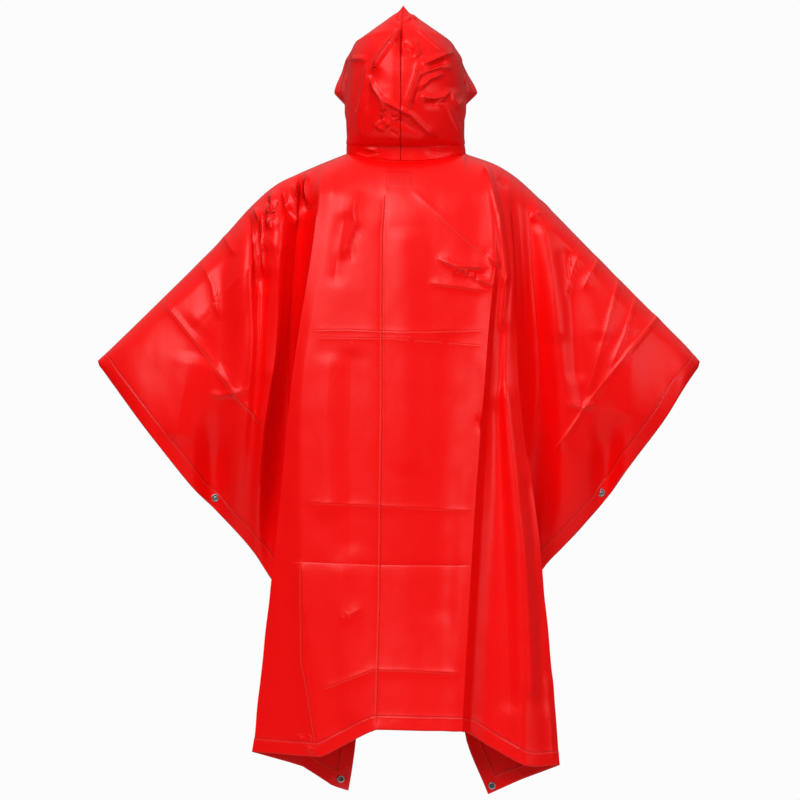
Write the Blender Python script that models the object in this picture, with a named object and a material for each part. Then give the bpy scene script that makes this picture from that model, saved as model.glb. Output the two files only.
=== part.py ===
"""A hooded rain poncho of coated cloth, hollow, in the pose it keeps on a wearer with both arms out and down.

The back faces -Y and the wearer looks along +Y. +X is the wearer's right, +Z is up. The origin is the middle
of the neck base, between the shoulders that carry it. Tables are in millimetres and the model is in metres.

Each panel is a fan of folds. A fold is a line that hangs from the shoulder seam or the neck down to the
panel's free edge, and the cloth between two folds is one smooth curve.
"""

import math
from collections import namedtuple

import bmesh
import bpy
from mathutils import Vector
from mathutils.bvhtree import BVHTree

MM = 0.001
TINY = 1e-6

CLOTH_WALL = 1.5 * MM
HEM_WALL = 2.7 * MM
HEM_WIDTH = 25 * MM
HEM_STEP = 3 * MM
SEAM_GAP = 0.3 * MM

LEAST_HEM_SLANT = 0.45
HIGHEST_HEM = 0.4

PANEL_ROWS = 15
TOP_ROWS_POWER = 1.55
SEAM_SETTLE_POWER = 6
HOOD_ROWS = 20

NECK_MIDDLE_X = 10
NECK_HALF_WIDTH = 104.5
NECK_BACK_DEPTH = 72
NECK_FRONT_DEPTH = 88
NECK_SIDE_HEIGHT = 7
NECK_BACK_DROP = 13
NECK_FRONT_DROP = 37
NECK_SEAM_TILT = math.radians(25)
SEAM_ANGLE = -math.degrees(math.asin(NECK_MIDDLE_X / NECK_HALF_WIDTH))
FRONT_EDGE_ANGLE = 179.4

CLOTH_SMOOTH_ANGLE = 40
METAL_SMOOTH_ANGLE = 35

# A finish's colour, and how rough and how metallic it is.
Finish = namedtuple("Finish", "colour roughness metallic")
COATED_CLOTH = Finish((0.93, 0.03, 0.03, 1.0), 0.42, 0.0)
LABEL_CLOTH = Finish((0.93, 0.03, 0.03, 1.0), 0.6, 0.0)
SNAP_METAL = Finish((0.55, 0.54, 0.53, 1.0), 0.3, 1.0)

# The shoulder and arm line, from the left hand to the neck and from the neck to the right hand.
ArmPoint = namedtuple("ArmPoint", "across height")
LEFT_ARM_LINE = [
    ArmPoint(-532, -358),
    ArmPoint(-426, -255),
    ArmPoint(-311, -140),
    ArmPoint(-267, -91),
    ArmPoint(-216, -46),
    ArmPoint(-182, -29.5),
    ArmPoint(-142, -12),
    ArmPoint(-94.5, 7),
]
RIGHT_ARM_LINE = [
    ArmPoint(114.5, 7),
    ArmPoint(180, -19),
    ArmPoint(206, -37),
    ArmPoint(239, -67),
    ArmPoint(342, -171),
    ArmPoint(451, -281),
    ArmPoint(511, -341),
    ArmPoint(526, -359),
]

# A fold's five places run from the seam down to the free edge. depth is how far the cloth hangs behind the
# arms (or before them, on the front panel). rounding is how far down the cloth takes to turn over the arm.
# crisp is 0 for a soft fold and 1 for a knife edge. steps is the number of columns up to the next fold, and
# neck is the fold's angle round the neck, where it starts there.
Fold = namedtuple("Fold", "name across depth height rounding crisp steps neck", defaults=(None,))

LEFT_WING = [
    Fold("hand tip", (-532, -531, -530, -528, -525), (8, 9, 10, 10, 10),
         (-358, -361, -364, -367, -370), 6, 0, 2),
    Fold("cuff outer", (-480, -480, -480, -479, -478), (20, 34, 42, 46, 44),
         (-309, -340, -372, -405, -436), 20, 0, 2),
    Fold("cuff middle", (-426, -426, -426, -425, -423), (32, 48, 58, 62, 58),
         (-257, -310, -380, -450, -509), 35, 0, 2),
    Fold("cuff inner", (-368, -368, -370, -371, -371), (42, 58, 66, 62, 40),
         (-199, -280, -380, -480, -574), 45, 0, 3),
    Fold("snap line", (-311, -315, -325, -332, -334), (46, 62, 60, 7, 4),
         (-140, -250, -430, -570, -611), 45, 0, 2),
    Fold("arm ridge", (-260, -260, -262, -276, -290), (50, 84, 88, 62, 6),
         (-87, -190, -340, -500, -656), 45, 0.3, 1),
    Fold("arm dip", (-246, -246, -249, -262, -273), (50, 68, 76, 56, 6),
         (-75, -180, -330, -500, -675), 45, 0, 1),
    Fold("wing ridge", (-216, -216, -218, -240, -255), (55, 90, 94, 82, 8),
         (-48, -160, -320, -477, -697), 45, 0.4, 2),
]
RIGHT_WING = [
    Fold("wing ridge", (239, 262, 275, 282, 289), (58, 72, 66, 42, 6),
         (-65, -220, -400, -560, -681), 45, 0, 2),
    Fold("arm dip", (290, 305, 320, 326, 333), (52, 64, 62, 46, 6), (-116, -260, -400, -520, -633), 45, 0, 2),
    Fold("snap line", (342, 348, 354, 360, 361), (46, 68, 64, 7, 4),
         (-171, -285, -430, -562, -601), 45, 0, 2),
    Fold("cuff inner", (400, 401, 402, 403, 404), (42, 60, 68, 62, 42),
         (-231, -310, -390, -470, -541), 45, 0, 2),
    Fold("cuff middle", (451, 453, 457, 462, 467), (32, 46, 54, 56, 50),
         (-283, -325, -370, -415, -456), 35, 0, 2),
    Fold("cuff outer", (500, 501, 502, 503, 503), (20, 30, 36, 40, 40),
         (-332, -348, -364, -380, -397), 20, 0, 2),
    Fold("hand tip", (526, 525, 524, 523, 521), (8, 9, 10, 10, 10), (-359, -362, -365, -368, -371), 6, 0, 1),
]
BACK_BODY = [
    Fold("valley side", (-177, -189, -202, -217, -226), (55, 44, 28, 17, 9),
         (-28, -160, -340, -540, -743), 50, 0, 2),
    Fold("valley floor", (-170, -183, -194, -172, -158), (56, 42, 23, 15, 13),
         (-24, -160, -400, -640, -835), 50, 0, 3),
    Fold("flap turn", (-163, -177, -184, -142, -95), (58, 46, 31, 28, 27),
         (-21, -160, -380, -700, -925), 50, 0, 2),
    Fold("flap edge", (-157, -172, -181, -152, -77), (60, 52, 42, 43, 43),
         (-19, -160, -380, -743, -1005), 50, 0.5, 2),
    Fold("corner", (-152, -167, -181, -172, -92), (66, 64, 56, 50, 50),
         (-17, -160, -380, -743, -1122), 50, 1, 2),
    Fold("flap hem", (-145, -160, -180, -198, -172), (74, 86, 82, 66, 54),
         (-14, -160, -360, -700, -1070), 55, 0.8, 2),
    Fold("body edge", (-136, -153, -185, -218, -260), (88, 112, 120, 112, 88),
         (-10, -150, -350, -667, -1044), 60, 1, 2),
    Fold("left crease", (-116, -130, -166, -174, -140), (96, 118, 130, 138, 152),
         (-2, -150, -350, -680, -1052), 70, 0.7, 2),
    Fold("neck left", (-94.5, -104, -120, -120, -98), (96, 122, 137, 148, 160),
         (7, -150, -400, -700, -1031), 90, 0, 2, -90),
    Fold("left panel", (-80, -76, -78, -80, -72), (102, 125, 141, 151, 168),
         (4, -150, -400, -700, -1017), 100, 0, 2, -60),
    Fold("pack crease", (-42, -36, -33, -36, -43), (108, 127, 146, 158, 178),
         (-3, -150, -440, -760, -1004), 110, 0.8, 2, -30),
    Fold("centre back", (0, 0, 2, 4, 5), (112, 129, 147, 161, 182),
         (-6, -150, -440, -760, -1005), 110, 0, 3, SEAM_ANGLE),
    Fold("right panel", (62, 60, 56, 50, 45), (107, 126, 143, 161, 183),
         (-3, -150, -440, -760, -1006), 110, 0, 2, 30),
    Fold("pleat panel", (100, 95, 92, 80, 72), (102, 125, 142, 161, 184),
         (4, -150, -440, -760, -1006), 100, 0, 2, 60),
    Fold("neck right", (114.5, 128, 122, 105, 90), (96, 122, 143, 162, 185),
         (7, -150, -400, -700, -1007), 90, 0, 2, 90),
    Fold("pleat edge", (143, 163, 152, 130, 107), (90, 116, 143, 160, 185),
         (-4, -120, -330, -620, -1007), 70, 1, 1),
    Fold("pleat floor", (150, 172, 161, 143, 119), (84, 110, 120, 132, 140),
         (-7, -120, -330, -620, -1010), 65, 0.8, 2),
    Fold("side hollow", (161, 184, 174, 172, 170), (76, 104, 114, 124, 130),
         (-11, -130, -390, -680, -1042), 60, 0, 2),
    Fold("side ridge", (174, 194, 184, 207, 218), (72, 101, 118, 136, 142),
         (-16, -150, -400, -690, -1067), 55, 0.3, 2),
    Fold("body edge", (190, 199, 208, 241, 279), (70, 97, 103, 106, 96),
         (-25, -200, -395, -650, -1067), 50, 0.9, 2),
    Fold("flap hem", (197, 207, 216, 230, 212), (66, 88, 82, 68, 56),
         (-29, -200, -400, -680, -1093), 50, 0.8, 2),
    Fold("corner", (203, 213, 222, 214, 154), (65, 80, 68, 52, 52), (-33, -200, -400, -743, -1119), 50, 1, 2),
    Fold("flap edge", (208, 219, 228, 196, 113), (64, 75, 56, 43, 43),
         (-36, -200, -400, -743, -1008), 50, 0, 2),
    Fold("flap turn", (213, 224, 234, 186, 134), (62, 70, 44, 28, 27),
         (-40, -200, -400, -700, -925), 50, 0, 3),
    Fold("valley floor", (218, 230, 243, 214, 190), (60, 66, 38, 16, 13),
         (-45, -200, -400, -640, -835), 50, 0, 2),
    Fold("valley side", (225, 238, 252, 258, 250), (60, 64, 42, 23, 9),
         (-51, -200, -400, -560, -724), 50, 0, 2),
]
FRONT_BODY = [
    Fold("valley side", (-177, -189, -202, -217, -225), (55, 46, 30, 17, 9),
         (-28, -160, -340, -540, -738), 50, 0, 2),
    Fold("valley floor", (-170, -183, -194, -176, -164), (56, 44, 24, 15, 13),
         (-24, -160, -400, -640, -820), 50, 0, 3),
    Fold("flap turn", (-163, -177, -186, -150, -124), (58, 47, 33, 28, 27),
         (-21, -160, -380, -680, -895), 50, 0, 2),
    Fold("corner", (-154, -169, -183, -172, -132), (64, 64, 56, 50, 54),
         (-18, -160, -380, -740, -1030), 50, 1, 2),
    Fold("flap hem", (-145, -160, -179, -196, -194), (74, 86, 82, 70, 66),
         (-14, -160, -360, -700, -1022), 55, 0, 2),
    Fold("body edge", (-134, -150, -180, -212, -248), (88, 112, 120, 112, 92),
         (-9, -150, -350, -667, -1008), 60, 0.5, 2),
    Fold("left ridge", (-114, -128, -150, -160, -162), (96, 122, 140, 152, 160),
         (-1, -150, -350, -680, -1000), 70, 0.3, 2),
    Fold("neck left", (-94.5, -100, -106, -112, -114), (96, 123, 133, 140, 147),
         (7, -150, -400, -700, -992), 90, 0, 2, -90),
    Fold("left panel", (-80, -72, -72, -76, -80), (112, 130, 145, 156, 166),
         (-2, -150, -400, -700, -988), 100, 0, 2, -60),
    Fold("left hollow", (-42, -34, -32, -34, -38), (122, 135, 144, 152, 158),
         (-20, -160, -420, -720, -984), 100, 0, 2, -30),
    Fold("centre front", (10, 10, 11, 11, 11), (126, 137, 149, 159, 167),
         (-30, -170, -440, -730, -982), 100, 0, 2, 0),
    Fold("right panel", (62, 56, 60, 66, 70), (121, 134, 150, 164, 178),
         (-20, -160, -420, -720, -983), 100, 0.2, 2, 30),
    Fold("right hollow", (100, 94, 96, 102, 108), (112, 129, 138, 144, 150),
         (-2, -150, -400, -700, -986), 100, 0, 2, 60),
    Fold("neck right", (114.5, 122, 130, 142, 152), (96, 122, 136, 147, 156),
         (7, -150, -400, -700, -991), 90, 0, 2, 90),
    Fold("side slope", (152, 160, 170, 196, 214), (82, 108, 124, 134, 138),
         (-8, -150, -400, -690, -1003), 60, 0, 2),
    Fold("body edge", (190, 199, 208, 240, 266), (70, 98, 106, 108, 98),
         (-25, -200, -395, -650, -1014), 50, 0.4, 2),
    Fold("flap hem", (197, 207, 215, 228, 224), (66, 88, 84, 72, 66),
         (-29, -200, -400, -680, -1036), 50, 0, 2),
    Fold("corner", (204, 214, 224, 214, 174), (64, 79, 66, 52, 56), (-34, -200, -400, -743, -1044), 50, 1, 2),
    Fold("flap turn", (212, 223, 234, 194, 164), (62, 70, 44, 30, 28),
         (-39, -200, -400, -690, -905), 50, 0, 3),
    Fold("valley floor", (218, 230, 243, 216, 200), (60, 66, 38, 16, 13),
         (-45, -200, -400, -640, -825), 50, 0, 2),
    Fold("valley side", (225, 238, 252, 258, 249), (60, 64, 42, 23, 9),
         (-51, -200, -400, -560, -719), 50, 0, 2),
]

# The hood's sections, from the neck seam up to the crown seam: heights at the centre back, the side and the
# face edge, then how far it reaches to the back, to each side and to the face edge.
HoodSection = namedtuple(
    "HoodSection",
    "name level back_height side_height face_height back_depth left right face_left face_right face_depth",
)
HOOD_SECTIONS = [
    HoodSection("band top", 0.07, 20, 24, -6, 73, -94, 112, -4, 7, 90),
    HoodSection("blouse fold", 0.10, 23, 26, -2, 86, -95, 113, -8, 12, 93),
    HoodSection("blouse", 0.16, 34, 34, 10, 102, -94, 112, -24, 32, 95),
    HoodSection("nape", 0.28, 62, 60, 42, 118, -95, 112, -60, 74, 93),
    HoodSection("cheek", 0.42, 100, 96, 88, 130, -95, 113, -90, 108, 80),
    HoodSection("face tip", 0.50, 122, 116, 115, 132, -94, 111, -116, 135, 73),
    HoodSection("temple", 0.62, 156, 146, 150, 131, -92, 109, -103, 117, 84),
    HoodSection("crown side", 0.76, 194, 182, 183, 122, -88, 101, -90, 98, 93),
    HoodSection("crown corner", 0.86, 222, 205, 203, 106, -78, 85, -64, 68, 99),
    HoodSection("crown seam", 1.00, 267, 261, 222, 56, 0, 0, 0, 0, 104),
]
CRISP_HOOD_SECTIONS = {"band top": 0.6, "blouse fold": 0.6, "face tip": 0.7, "crown corner": 0.9}
HOOD_SIDE_DEPTH = 15
HOOD_SIDE_FULLNESS = 0.85
HOOD_BACK_DIP = 1.5
APEX_SHIFT = 5
APEX_SHIFT_POWER = 6
BAND_MIDDLE = 0.035

# The neck seam's points, as angles from the centre, that the panels and the hood share.
HOOD_BACK_ANGLES = [30, 45, 60, 75]
HOOD_FACE_ANGLES = [90, 105, 120, 135, 150, 165, FRONT_EDGE_ANGLE]
HOOD_HEM_COLUMNS = 2

# The back's left lower corner is bent under: everything within its reach turns forward and up.
CornerBend = namedtuple("CornerBend", "across height reach forward lift")
BACK_CORNER_BEND = CornerBend(-92, -1122, 32, 1.0, 0.3)

# The places of the snaps: two that hold the side edges together, and one open pair at each lower corner.
SnapPlace = namedtuple("SnapPlace", "name across depth height")
SIDE_SNAPS = [SnapPlace("left", -326, 0, -598), SnapPlace("right", 353, 0, -589)]
BACK_CORNER_SNAPS = [SnapPlace("back_left", -108, -40, -1092), SnapPlace("back_right", 161, -52, -1104)]
FRONT_CORNER_SNAPS = [SnapPlace("front_left", -139, 54, -1014), SnapPlace("front_right", 186, 56, -1022)]

# The plain label inside the back of the neck.
LABEL_LEFT, LABEL_RIGHT, LABEL_TOP, LABEL_FOOT = -22, 19, -25, -50
LABEL_WALL = 0.6 * MM
LABEL_STEPS = 4

# A pressed snap half: rings from its foot, which follows the cloth, to its crown.
SNAP_SIDES = 12
FOOT_RADII = [7.0, 3.5]
SnapRing = namedtuple("SnapRing", "radius lift")
SNAP_CAP = [SnapRing(7.0, 0.9), SnapRing(5.6, 1.8), SnapRing(2.6, 2.3)]
SNAP_SOCKET = [SnapRing(7.0, 1.0), SnapRing(6.0, 2.6), SnapRing(4.4, 2.8), SnapRing(3.2, 1.4)]
SNAP_CORE_RADII = [5.6, 2.8]
RAY_START = 14 * MM
RAY_LENGTH = 30 * MM
LIFT_STEP = 0.1 * MM
GREATEST_LIFT = 3 * MM


def clear_scene():
    for item in list(bpy.data.objects):
        bpy.data.objects.remove(item)


def make_material(name, finish):
    material = bpy.data.materials.new(name)
    material.use_nodes = True
    shader = material.node_tree.nodes["Principled BSDF"]
    shader.inputs["Base Color"].default_value = finish.colour
    shader.inputs["Roughness"].default_value = finish.roughness
    shader.inputs["Metallic"].default_value = finish.metallic
    return material


def curve_at(knots, values, crisp, place):
    """A smooth curve through values, with a corner at each knot as far as its crisp number asks."""
    last = len(knots) - 2
    index = 0
    while index < last and place > knots[index + 1]:
        index += 1
    span = knots[index + 1] - knots[index]
    chord = (values[index + 1] - values[index]) / span

    def slope(knot):
        if knot == 0 or knot == len(knots) - 1:
            return chord
        before = knots[knot] - knots[knot - 1]
        after = knots[knot + 1] - knots[knot]
        slope_before = (values[knot] - values[knot - 1]) / before
        slope_after = (values[knot + 1] - values[knot]) / after
        smooth = (slope_before * after + slope_after * before) / (before + after)
        return smooth * (1 - crisp[knot]) + chord * crisp[knot]

    part = (place - knots[index]) / span
    start_weight = 2 * part**3 - 3 * part**2 + 1
    end_weight = 1 - start_weight
    start_slope = (part**3 - 2 * part**2 + part) * span
    end_slope = (part**3 - part**2) * span
    return (
        values[index] * start_weight
        + values[index + 1] * end_weight
        + slope(index) * start_slope
        + slope(index + 1) * end_slope
    )


def between(first, second, part):
    return first + (second - first) * part


def neck_point(angle, side):
    """The neck seam at an angle from the centre, on the back (side -1) or the front (side 1)."""
    turn = math.radians(angle)
    depth, drop = (NECK_BACK_DEPTH, NECK_BACK_DROP) if side < 0 else (NECK_FRONT_DEPTH, NECK_FRONT_DROP)
    across = NECK_MIDDLE_X + NECK_HALF_WIDTH * math.sin(turn)
    height = NECK_SIDE_HEIGHT - drop * math.cos(turn) ** 2
    return Vector((across, side * depth * math.cos(turn), height)) * MM


def neck_directions(angle, side):
    """At the neck seam, the way through the cloth and the way along it, up into the hood."""
    ahead = neck_point(angle + 1, side)
    behind = neck_point(angle - 1, side)
    along = (ahead - behind).normalized()
    outward = Vector((-along.y, along.x, 0)).normalized()
    middle = Vector((NECK_MIDDLE_X * MM, 0, 0))
    if outward.dot(neck_point(angle, side) - middle) < 0:
        outward.negate()
    up = Vector((0, 0, 1))
    through = outward * math.cos(NECK_SEAM_TILT) + up * math.sin(NECK_SEAM_TILT)
    upward = up * math.cos(NECK_SEAM_TILT) - outward * math.sin(NECK_SEAM_TILT)
    return through, upward


def arm_height(across):
    """The arm line's height, from either arm's table."""
    line = LEFT_ARM_LINE if across < 0 else RIGHT_ARM_LINE
    knots = [point.across for point in line]
    heights = [point.height for point in line]
    return curve_at(knots, heights, [0] * len(line), across)


class Panel:
    """One panel's surface: the middle of its cloth, worked out from its folds."""

    def __init__(self, folds, side):
        self.folds = folds
        self.side = side
        self.lines = [self.fold_line(fold) for fold in folds]
        self.crisp = [fold.crisp for fold in folds]
        self.knots = self.fold_spacing()
        self.hem_starts = [self.hem_start(index) for index in range(len(folds))]

    def fold_line(self, fold):
        points = [
            Vector((across, self.side * depth, height)) * MM
            for across, depth, height in zip(fold.across, fold.depth, fold.height)
        ]
        knots = [0.0]
        for first, second in zip(points, points[1:]):
            knots.append(knots[-1] + (second - first).length)
        total = knots[-1]
        return [knot / total for knot in knots], points, total

    def fold_spacing(self):
        knots = [0.0]
        for first, second in zip(self.lines, self.lines[1:]):
            gaps = [(a - b).length for a, b in zip(first[1], second[1])]
            knots.append(knots[-1] + sum(gaps) / len(gaps))
        return knots

    def hem_start(self, index):
        """How far down its fold the hem begins, so that the hem is as wide everywhere."""
        points = self.lines[index][1]
        before = self.lines[max(index - 1, 0)][1][-1]
        after = self.lines[min(index + 1, len(self.lines) - 1)][1][-1]
        edge = (after - before).normalized()
        fall = (points[-1] - points[-2]).normalized()
        slant = max(edge.cross(fall).length, LEAST_HEM_SLANT)
        return max(1 - HEM_WIDTH / slant / self.lines[index][2], HIGHEST_HEM)

    def hem_start_at(self, place):
        return curve_at(self.knots, self.hem_starts, [1] * len(self.knots), place)

    def fold_number(self, place):
        last = len(self.knots) - 2
        index = 0
        while index < last and place > self.knots[index + 1]:
            index += 1
        return index, (place - self.knots[index]) / (self.knots[index + 1] - self.knots[index])

    def top_point(self, place, across):
        """The seam that the cloth hangs from: the neck between its two sides, and otherwise the arm line."""
        index, part = self.fold_number(place)
        first, second = self.folds[index].neck, self.folds[index + 1].neck
        if first is not None and second is not None:
            return neck_point(between(first, second, part), self.side)
        return Vector((across, 0, arm_height(across / MM) * MM))

    def neck_angle(self, place):
        index, part = self.fold_number(place)
        first, second = self.folds[index].neck, self.folds[index + 1].neck
        if first is not None and second is not None:
            return between(first, second, part)
        if first is not None and part < TINY:
            return first
        if second is not None and part > 1 - TINY:
            return second
        return None

    def rounding_at(self, place):
        index, part = self.fold_number(place)
        return between(self.folds[index].rounding, self.folds[index + 1].rounding, part) * MM

    def column(self, place):
        """What all points of one hanging line share: each fold's curve is worked out once."""
        return lambda down: curve_at(
            self.knots,
            [curve_at(knots, points, [0] * len(knots), down) for knots, points, _ in self.lines],
            self.crisp,
            place,
        )

    def point(self, place, down, column=None):
        """The cloth's middle at a place across the folds and a part of the way down them."""
        hanging = (column or self.column(place))(down)
        start = (column or self.column(place))(0.0)
        top = self.top_point(place, start.x)
        rounding = self.rounding_at(place)
        fall = min(max((start.z - hanging.z) / rounding, 0.0), 1.0)
        turn = math.sqrt(1 - (1 - fall) ** 2)
        settle = (1 - down) ** SEAM_SETTLE_POWER
        return self.bent(Vector((
            hanging.x + (top.x - start.x) * settle,
            between(top.y, hanging.y, turn),
            hanging.z + (top.z - start.z) * settle,
        )))

    def bent(self, point):
        """The back's left lower corner, turned under."""
        bend = BACK_CORNER_BEND
        away = math.hypot(point.x - bend.across * MM, point.z - bend.height * MM)
        turned = max(bend.reach * MM - away, 0)
        if self.side > 0 or turned == 0:
            return point
        return point + Vector((0, turned * bend.forward, turned * bend.lift))


def panel_columns(panel):
    """Places across the panel: every fold, and even steps between two folds."""
    places = []
    for index, fold in enumerate(panel.folds[:-1]):
        first, second = panel.knots[index], panel.knots[index + 1]
        places += [between(first, second, step / fold.steps) for step in range(fold.steps)]
    return places + [panel.knots[-1]]


def panel_rows(panel, place):
    """Parts of the way down, closer together at the shoulder, and the hem's own rows with their walls."""
    hem = panel.hem_start_at(place)
    rows = [(hem * (row / PANEL_ROWS) ** TOP_ROWS_POWER, CLOTH_WALL) for row in range(PANEL_ROWS + 1)]
    step = (1 - hem) * HEM_STEP / HEM_WIDTH
    return rows + [(hem + step, HEM_WALL), (1.0, HEM_WALL)]


def grid_normals(grid):
    """The way out of the cloth at each point, from its neighbours in both directions."""
    columns, rows = len(grid), len(grid[0])
    normals = []
    for i in range(columns):
        before, after = grid[max(i - 1, 0)], grid[min(i + 1, columns - 1)]
        line = []
        for j in range(rows):
            across = after[j] - before[j]
            down = grid[i][min(j + 1, rows - 1)] - grid[i][max(j - 1, 0)]
            line.append(across.cross(down).normalized())
        normals.append(line)
    return normals


def wall_object(name, grid, normals, walls, material):
    """A closed wall round a grid of points: two sheets half a wall to each side, bridged at their edges."""
    columns, rows = len(grid), len(grid[0])
    mesh = bmesh.new()
    sheet = bmesh.ops.create_grid(mesh, x_segments=columns - 1, y_segments=rows - 1, size=0.5)
    outer = sheet["verts"]
    places = {
        vert: (round((vert.co.x + 0.5) * (columns - 1)), round((vert.co.y + 0.5) * (rows - 1)))
        for vert in outer
    }
    copy = bmesh.ops.duplicate(mesh, geom=mesh.verts[:] + mesh.edges[:] + mesh.faces[:])
    inner = {copy["vert_map"][vert]: place for vert, place in places.items()}
    for vert, (i, j) in places.items():
        vert.co = grid[i][j] + normals[i][j] * walls[i][j] / 2
    for vert, (i, j) in inner.items():
        vert.co = grid[i][j] - normals[i][j] * walls[i][j] / 2
    rims = [edge for edge in mesh.edges if edge.is_boundary]
    bmesh.ops.bridge_loops(mesh, edges=rims)
    return finish_object(name, mesh, material, CLOTH_SMOOTH_ANGLE)


def finish_object(name, mesh, material, smooth_angle):
    bmesh.ops.recalc_face_normals(mesh, faces=mesh.faces[:])
    if mesh.calc_volume(signed=True) < 0:
        bmesh.ops.reverse_faces(mesh, faces=mesh.faces[:])
    bmesh.ops.triangulate(mesh, faces=mesh.faces[:])
    data = bpy.data.meshes.new(name)
    mesh.to_mesh(data)
    mesh.free()
    data.materials.append(material)
    data.shade_smooth()
    data.set_sharp_from_angle(angle=math.radians(smooth_angle))
    item = bpy.data.objects.new(name, data)
    bpy.context.scene.collection.objects.link(item)
    return item


def make_panel(name, folds, side, material):
    panel = Panel(folds, side)
    places = panel_columns(panel)
    grid, walls = [], []
    for place in places:
        column = panel.column(place)
        rows = panel_rows(panel, place)
        grid.append([panel.point(place, down, column) for down, _ in rows])
        walls.append([wall for _, wall in rows])
    normals = grid_normals(grid)
    if side < 0:
        normals = [[-normal for normal in line] for line in normals]
    for i, place in enumerate(places):
        angle = panel.neck_angle(place)
        if angle is not None:
            through, upward = neck_directions(angle, side)
            grid[i][0] = grid[i][0] - upward * SEAM_GAP / 2
            normals[i][0] = through
        else:
            along = grid[min(i + 1, len(grid) - 1)][0] - grid[max(i - 1, 0)][0]
            normals[i][0] = Vector((-along.z, 0, along.x)).normalized()
        if angle is None or abs(angle) == 90:
            grid[i][0].y = side * SEAM_GAP / 2
            normals[i][0].y = 0
            normals[i][0].normalize()
    return wall_object(name, grid, normals, walls, material)


def hood_section(level):
    """The hood's sizes at a level between the neck seam (0) and the crown seam (1)."""
    levels = [section.level for section in HOOD_SECTIONS]
    crisp = [CRISP_HOOD_SECTIONS.get(section.name, 0.0) for section in HOOD_SECTIONS]
    sizes = range(HoodSection._fields.index("back_height"), len(HoodSection._fields))
    values = [[section[column] for section in HOOD_SECTIONS] for column in sizes]
    return HoodSection("", level, *[curve_at(levels, column, crisp, level) for column in values])


def hood_curve(level, angle, hand):
    """A point of one hood half. angle runs from the back seam through 90 at the side to the face edge."""
    section = hood_section(level)
    side, face = (section.left, section.face_left) if hand < 0 else (section.right, section.face_right)
    seam_turn = abs(SEAM_ANGLE) if hand < 0 else -abs(SEAM_ANGLE)
    if angle <= 90:
        turn = math.radians(90 * (angle - seam_turn) / (90 - seam_turn))
        out = math.sin(turn) ** HOOD_SIDE_FULLNESS
        back = math.cos(turn)
        return Vector((
            side * out + APEX_SHIFT * level**APEX_SHIFT_POWER,
            between(-HOOD_SIDE_DEPTH, -section.back_depth, back),
            between(section.side_height, section.back_height, back**HOOD_BACK_DIP),
        )) * MM
    part = (angle - 90) / (FRONT_EDGE_ANGLE - 90)
    return Vector((
        between(side, face, part**2) + APEX_SHIFT * level**APEX_SHIFT_POWER,
        between(-HOOD_SIDE_DEPTH, section.face_depth, part),
        between(section.side_height, section.face_height, part**2),
    )) * MM


def hood_point(level, angle, hand):
    """The hood follows its sections, and below the first of them it runs straight down to the neck seam."""
    first = HOOD_SECTIONS[0].level
    if level >= first:
        return hood_curve(level, angle, hand)
    side = -1 if angle <= 90 else 1
    turn = angle if angle <= 90 else 180 - angle
    start = neck_point(hand * turn, side)
    return start.lerp(hood_curve(first, angle, hand), level / first)


def hood_angles(hand):
    """The same angles as the panels' own neck points, so that the seam's two sides match."""
    seam = hand * SEAM_ANGLE
    steps = 2 if hand < 0 else 3
    first = [between(seam, HOOD_BACK_ANGLES[0], step / steps) for step in range(steps)]
    return first + HOOD_BACK_ANGLES + HOOD_FACE_ANGLES


def make_hood_half(name, hand, material):
    angles = hood_angles(hand)
    levels = [0.0, BAND_MIDDLE] + [section.level for section in HOOD_SECTIONS[:2]]
    spread = HOOD_ROWS - len(levels)
    levels += [between(levels[3], 1.0, (row + 1) / spread) for row in range(spread)]
    grid = [[hood_point(level, angle, hand) for level in levels] for angle in angles]
    normals = grid_normals(grid)
    if hand < 0:
        normals = [[-normal for normal in line] for line in normals]
    plain = len(angles) - HOOD_HEM_COLUMNS
    walls = [[CLOTH_WALL if i < plain else HEM_WALL for _ in levels] for i in range(len(angles))]
    for i, angle in enumerate(angles):
        side = -1 if angle <= 90 else 1
        turn = angle if angle <= 90 else 180 - angle
        through, upward = neck_directions(hand * turn, side)
        grid[i][0] = grid[i][0] + upward * SEAM_GAP / 2
        normals[i][0] = through
    half_gap = Vector((hand * SEAM_GAP / 2, 0, 0))
    for j in range(len(levels)):
        flat_on_seam(normals[0], j)
        grid[0][j] = grid[0][j] + half_gap
    for i in range(1, len(angles)):
        flat_on_seam(normals[i], len(levels) - 1)
        grid[i][-1] = grid[i][-1] + half_gap
    return wall_object(name, grid, normals, walls, material)


def flat_on_seam(line, row):
    """At the centre seam the cloth's two faces stand square to the seam's plane."""
    line[row] = Vector((0, line[row].y, line[row].z)).normalized()


def surface_of(item):
    return BVHTree.FromObject(item, bpy.context.evaluated_depsgraph_get())


def ring_place(axis, radius, side):
    """The place of one corner of a ring of SNAP_SIDES corners round the axis."""
    turn = 2 * math.pi * side / SNAP_SIDES
    first = axis.orthogonal().normalized()
    return (first * math.cos(turn) + axis.cross(first) * math.sin(turn)) * radius * MM


def cloth_below(surface, start, direction, lift):
    """Where a line meets the cloth, and the lift short of it."""
    return surface.ray_cast(start, direction, RAY_LENGTH)[0] - direction * lift


def following_foot(mesh, surface, start, direction, radii, lift):
    """Rings of points and a middle point that all lie the lift off the cloth; returns the outer ring."""
    rings = []
    for radius in radii:
        places = [start + ring_place(direction, radius, side) for side in range(SNAP_SIDES)]
        rings.append([mesh.verts.new(cloth_below(surface, place, direction, lift)) for place in places])
    middle = mesh.verts.new(cloth_below(surface, start, direction, lift))
    for outer, inner in zip(rings, rings[1:]):
        join_rings(mesh, outer, inner)
    for side in range(SNAP_SIDES):
        mesh.faces.new((rings[-1][side], rings[-1][(side + 1) % SNAP_SIDES], middle))
    return rings[0]


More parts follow.
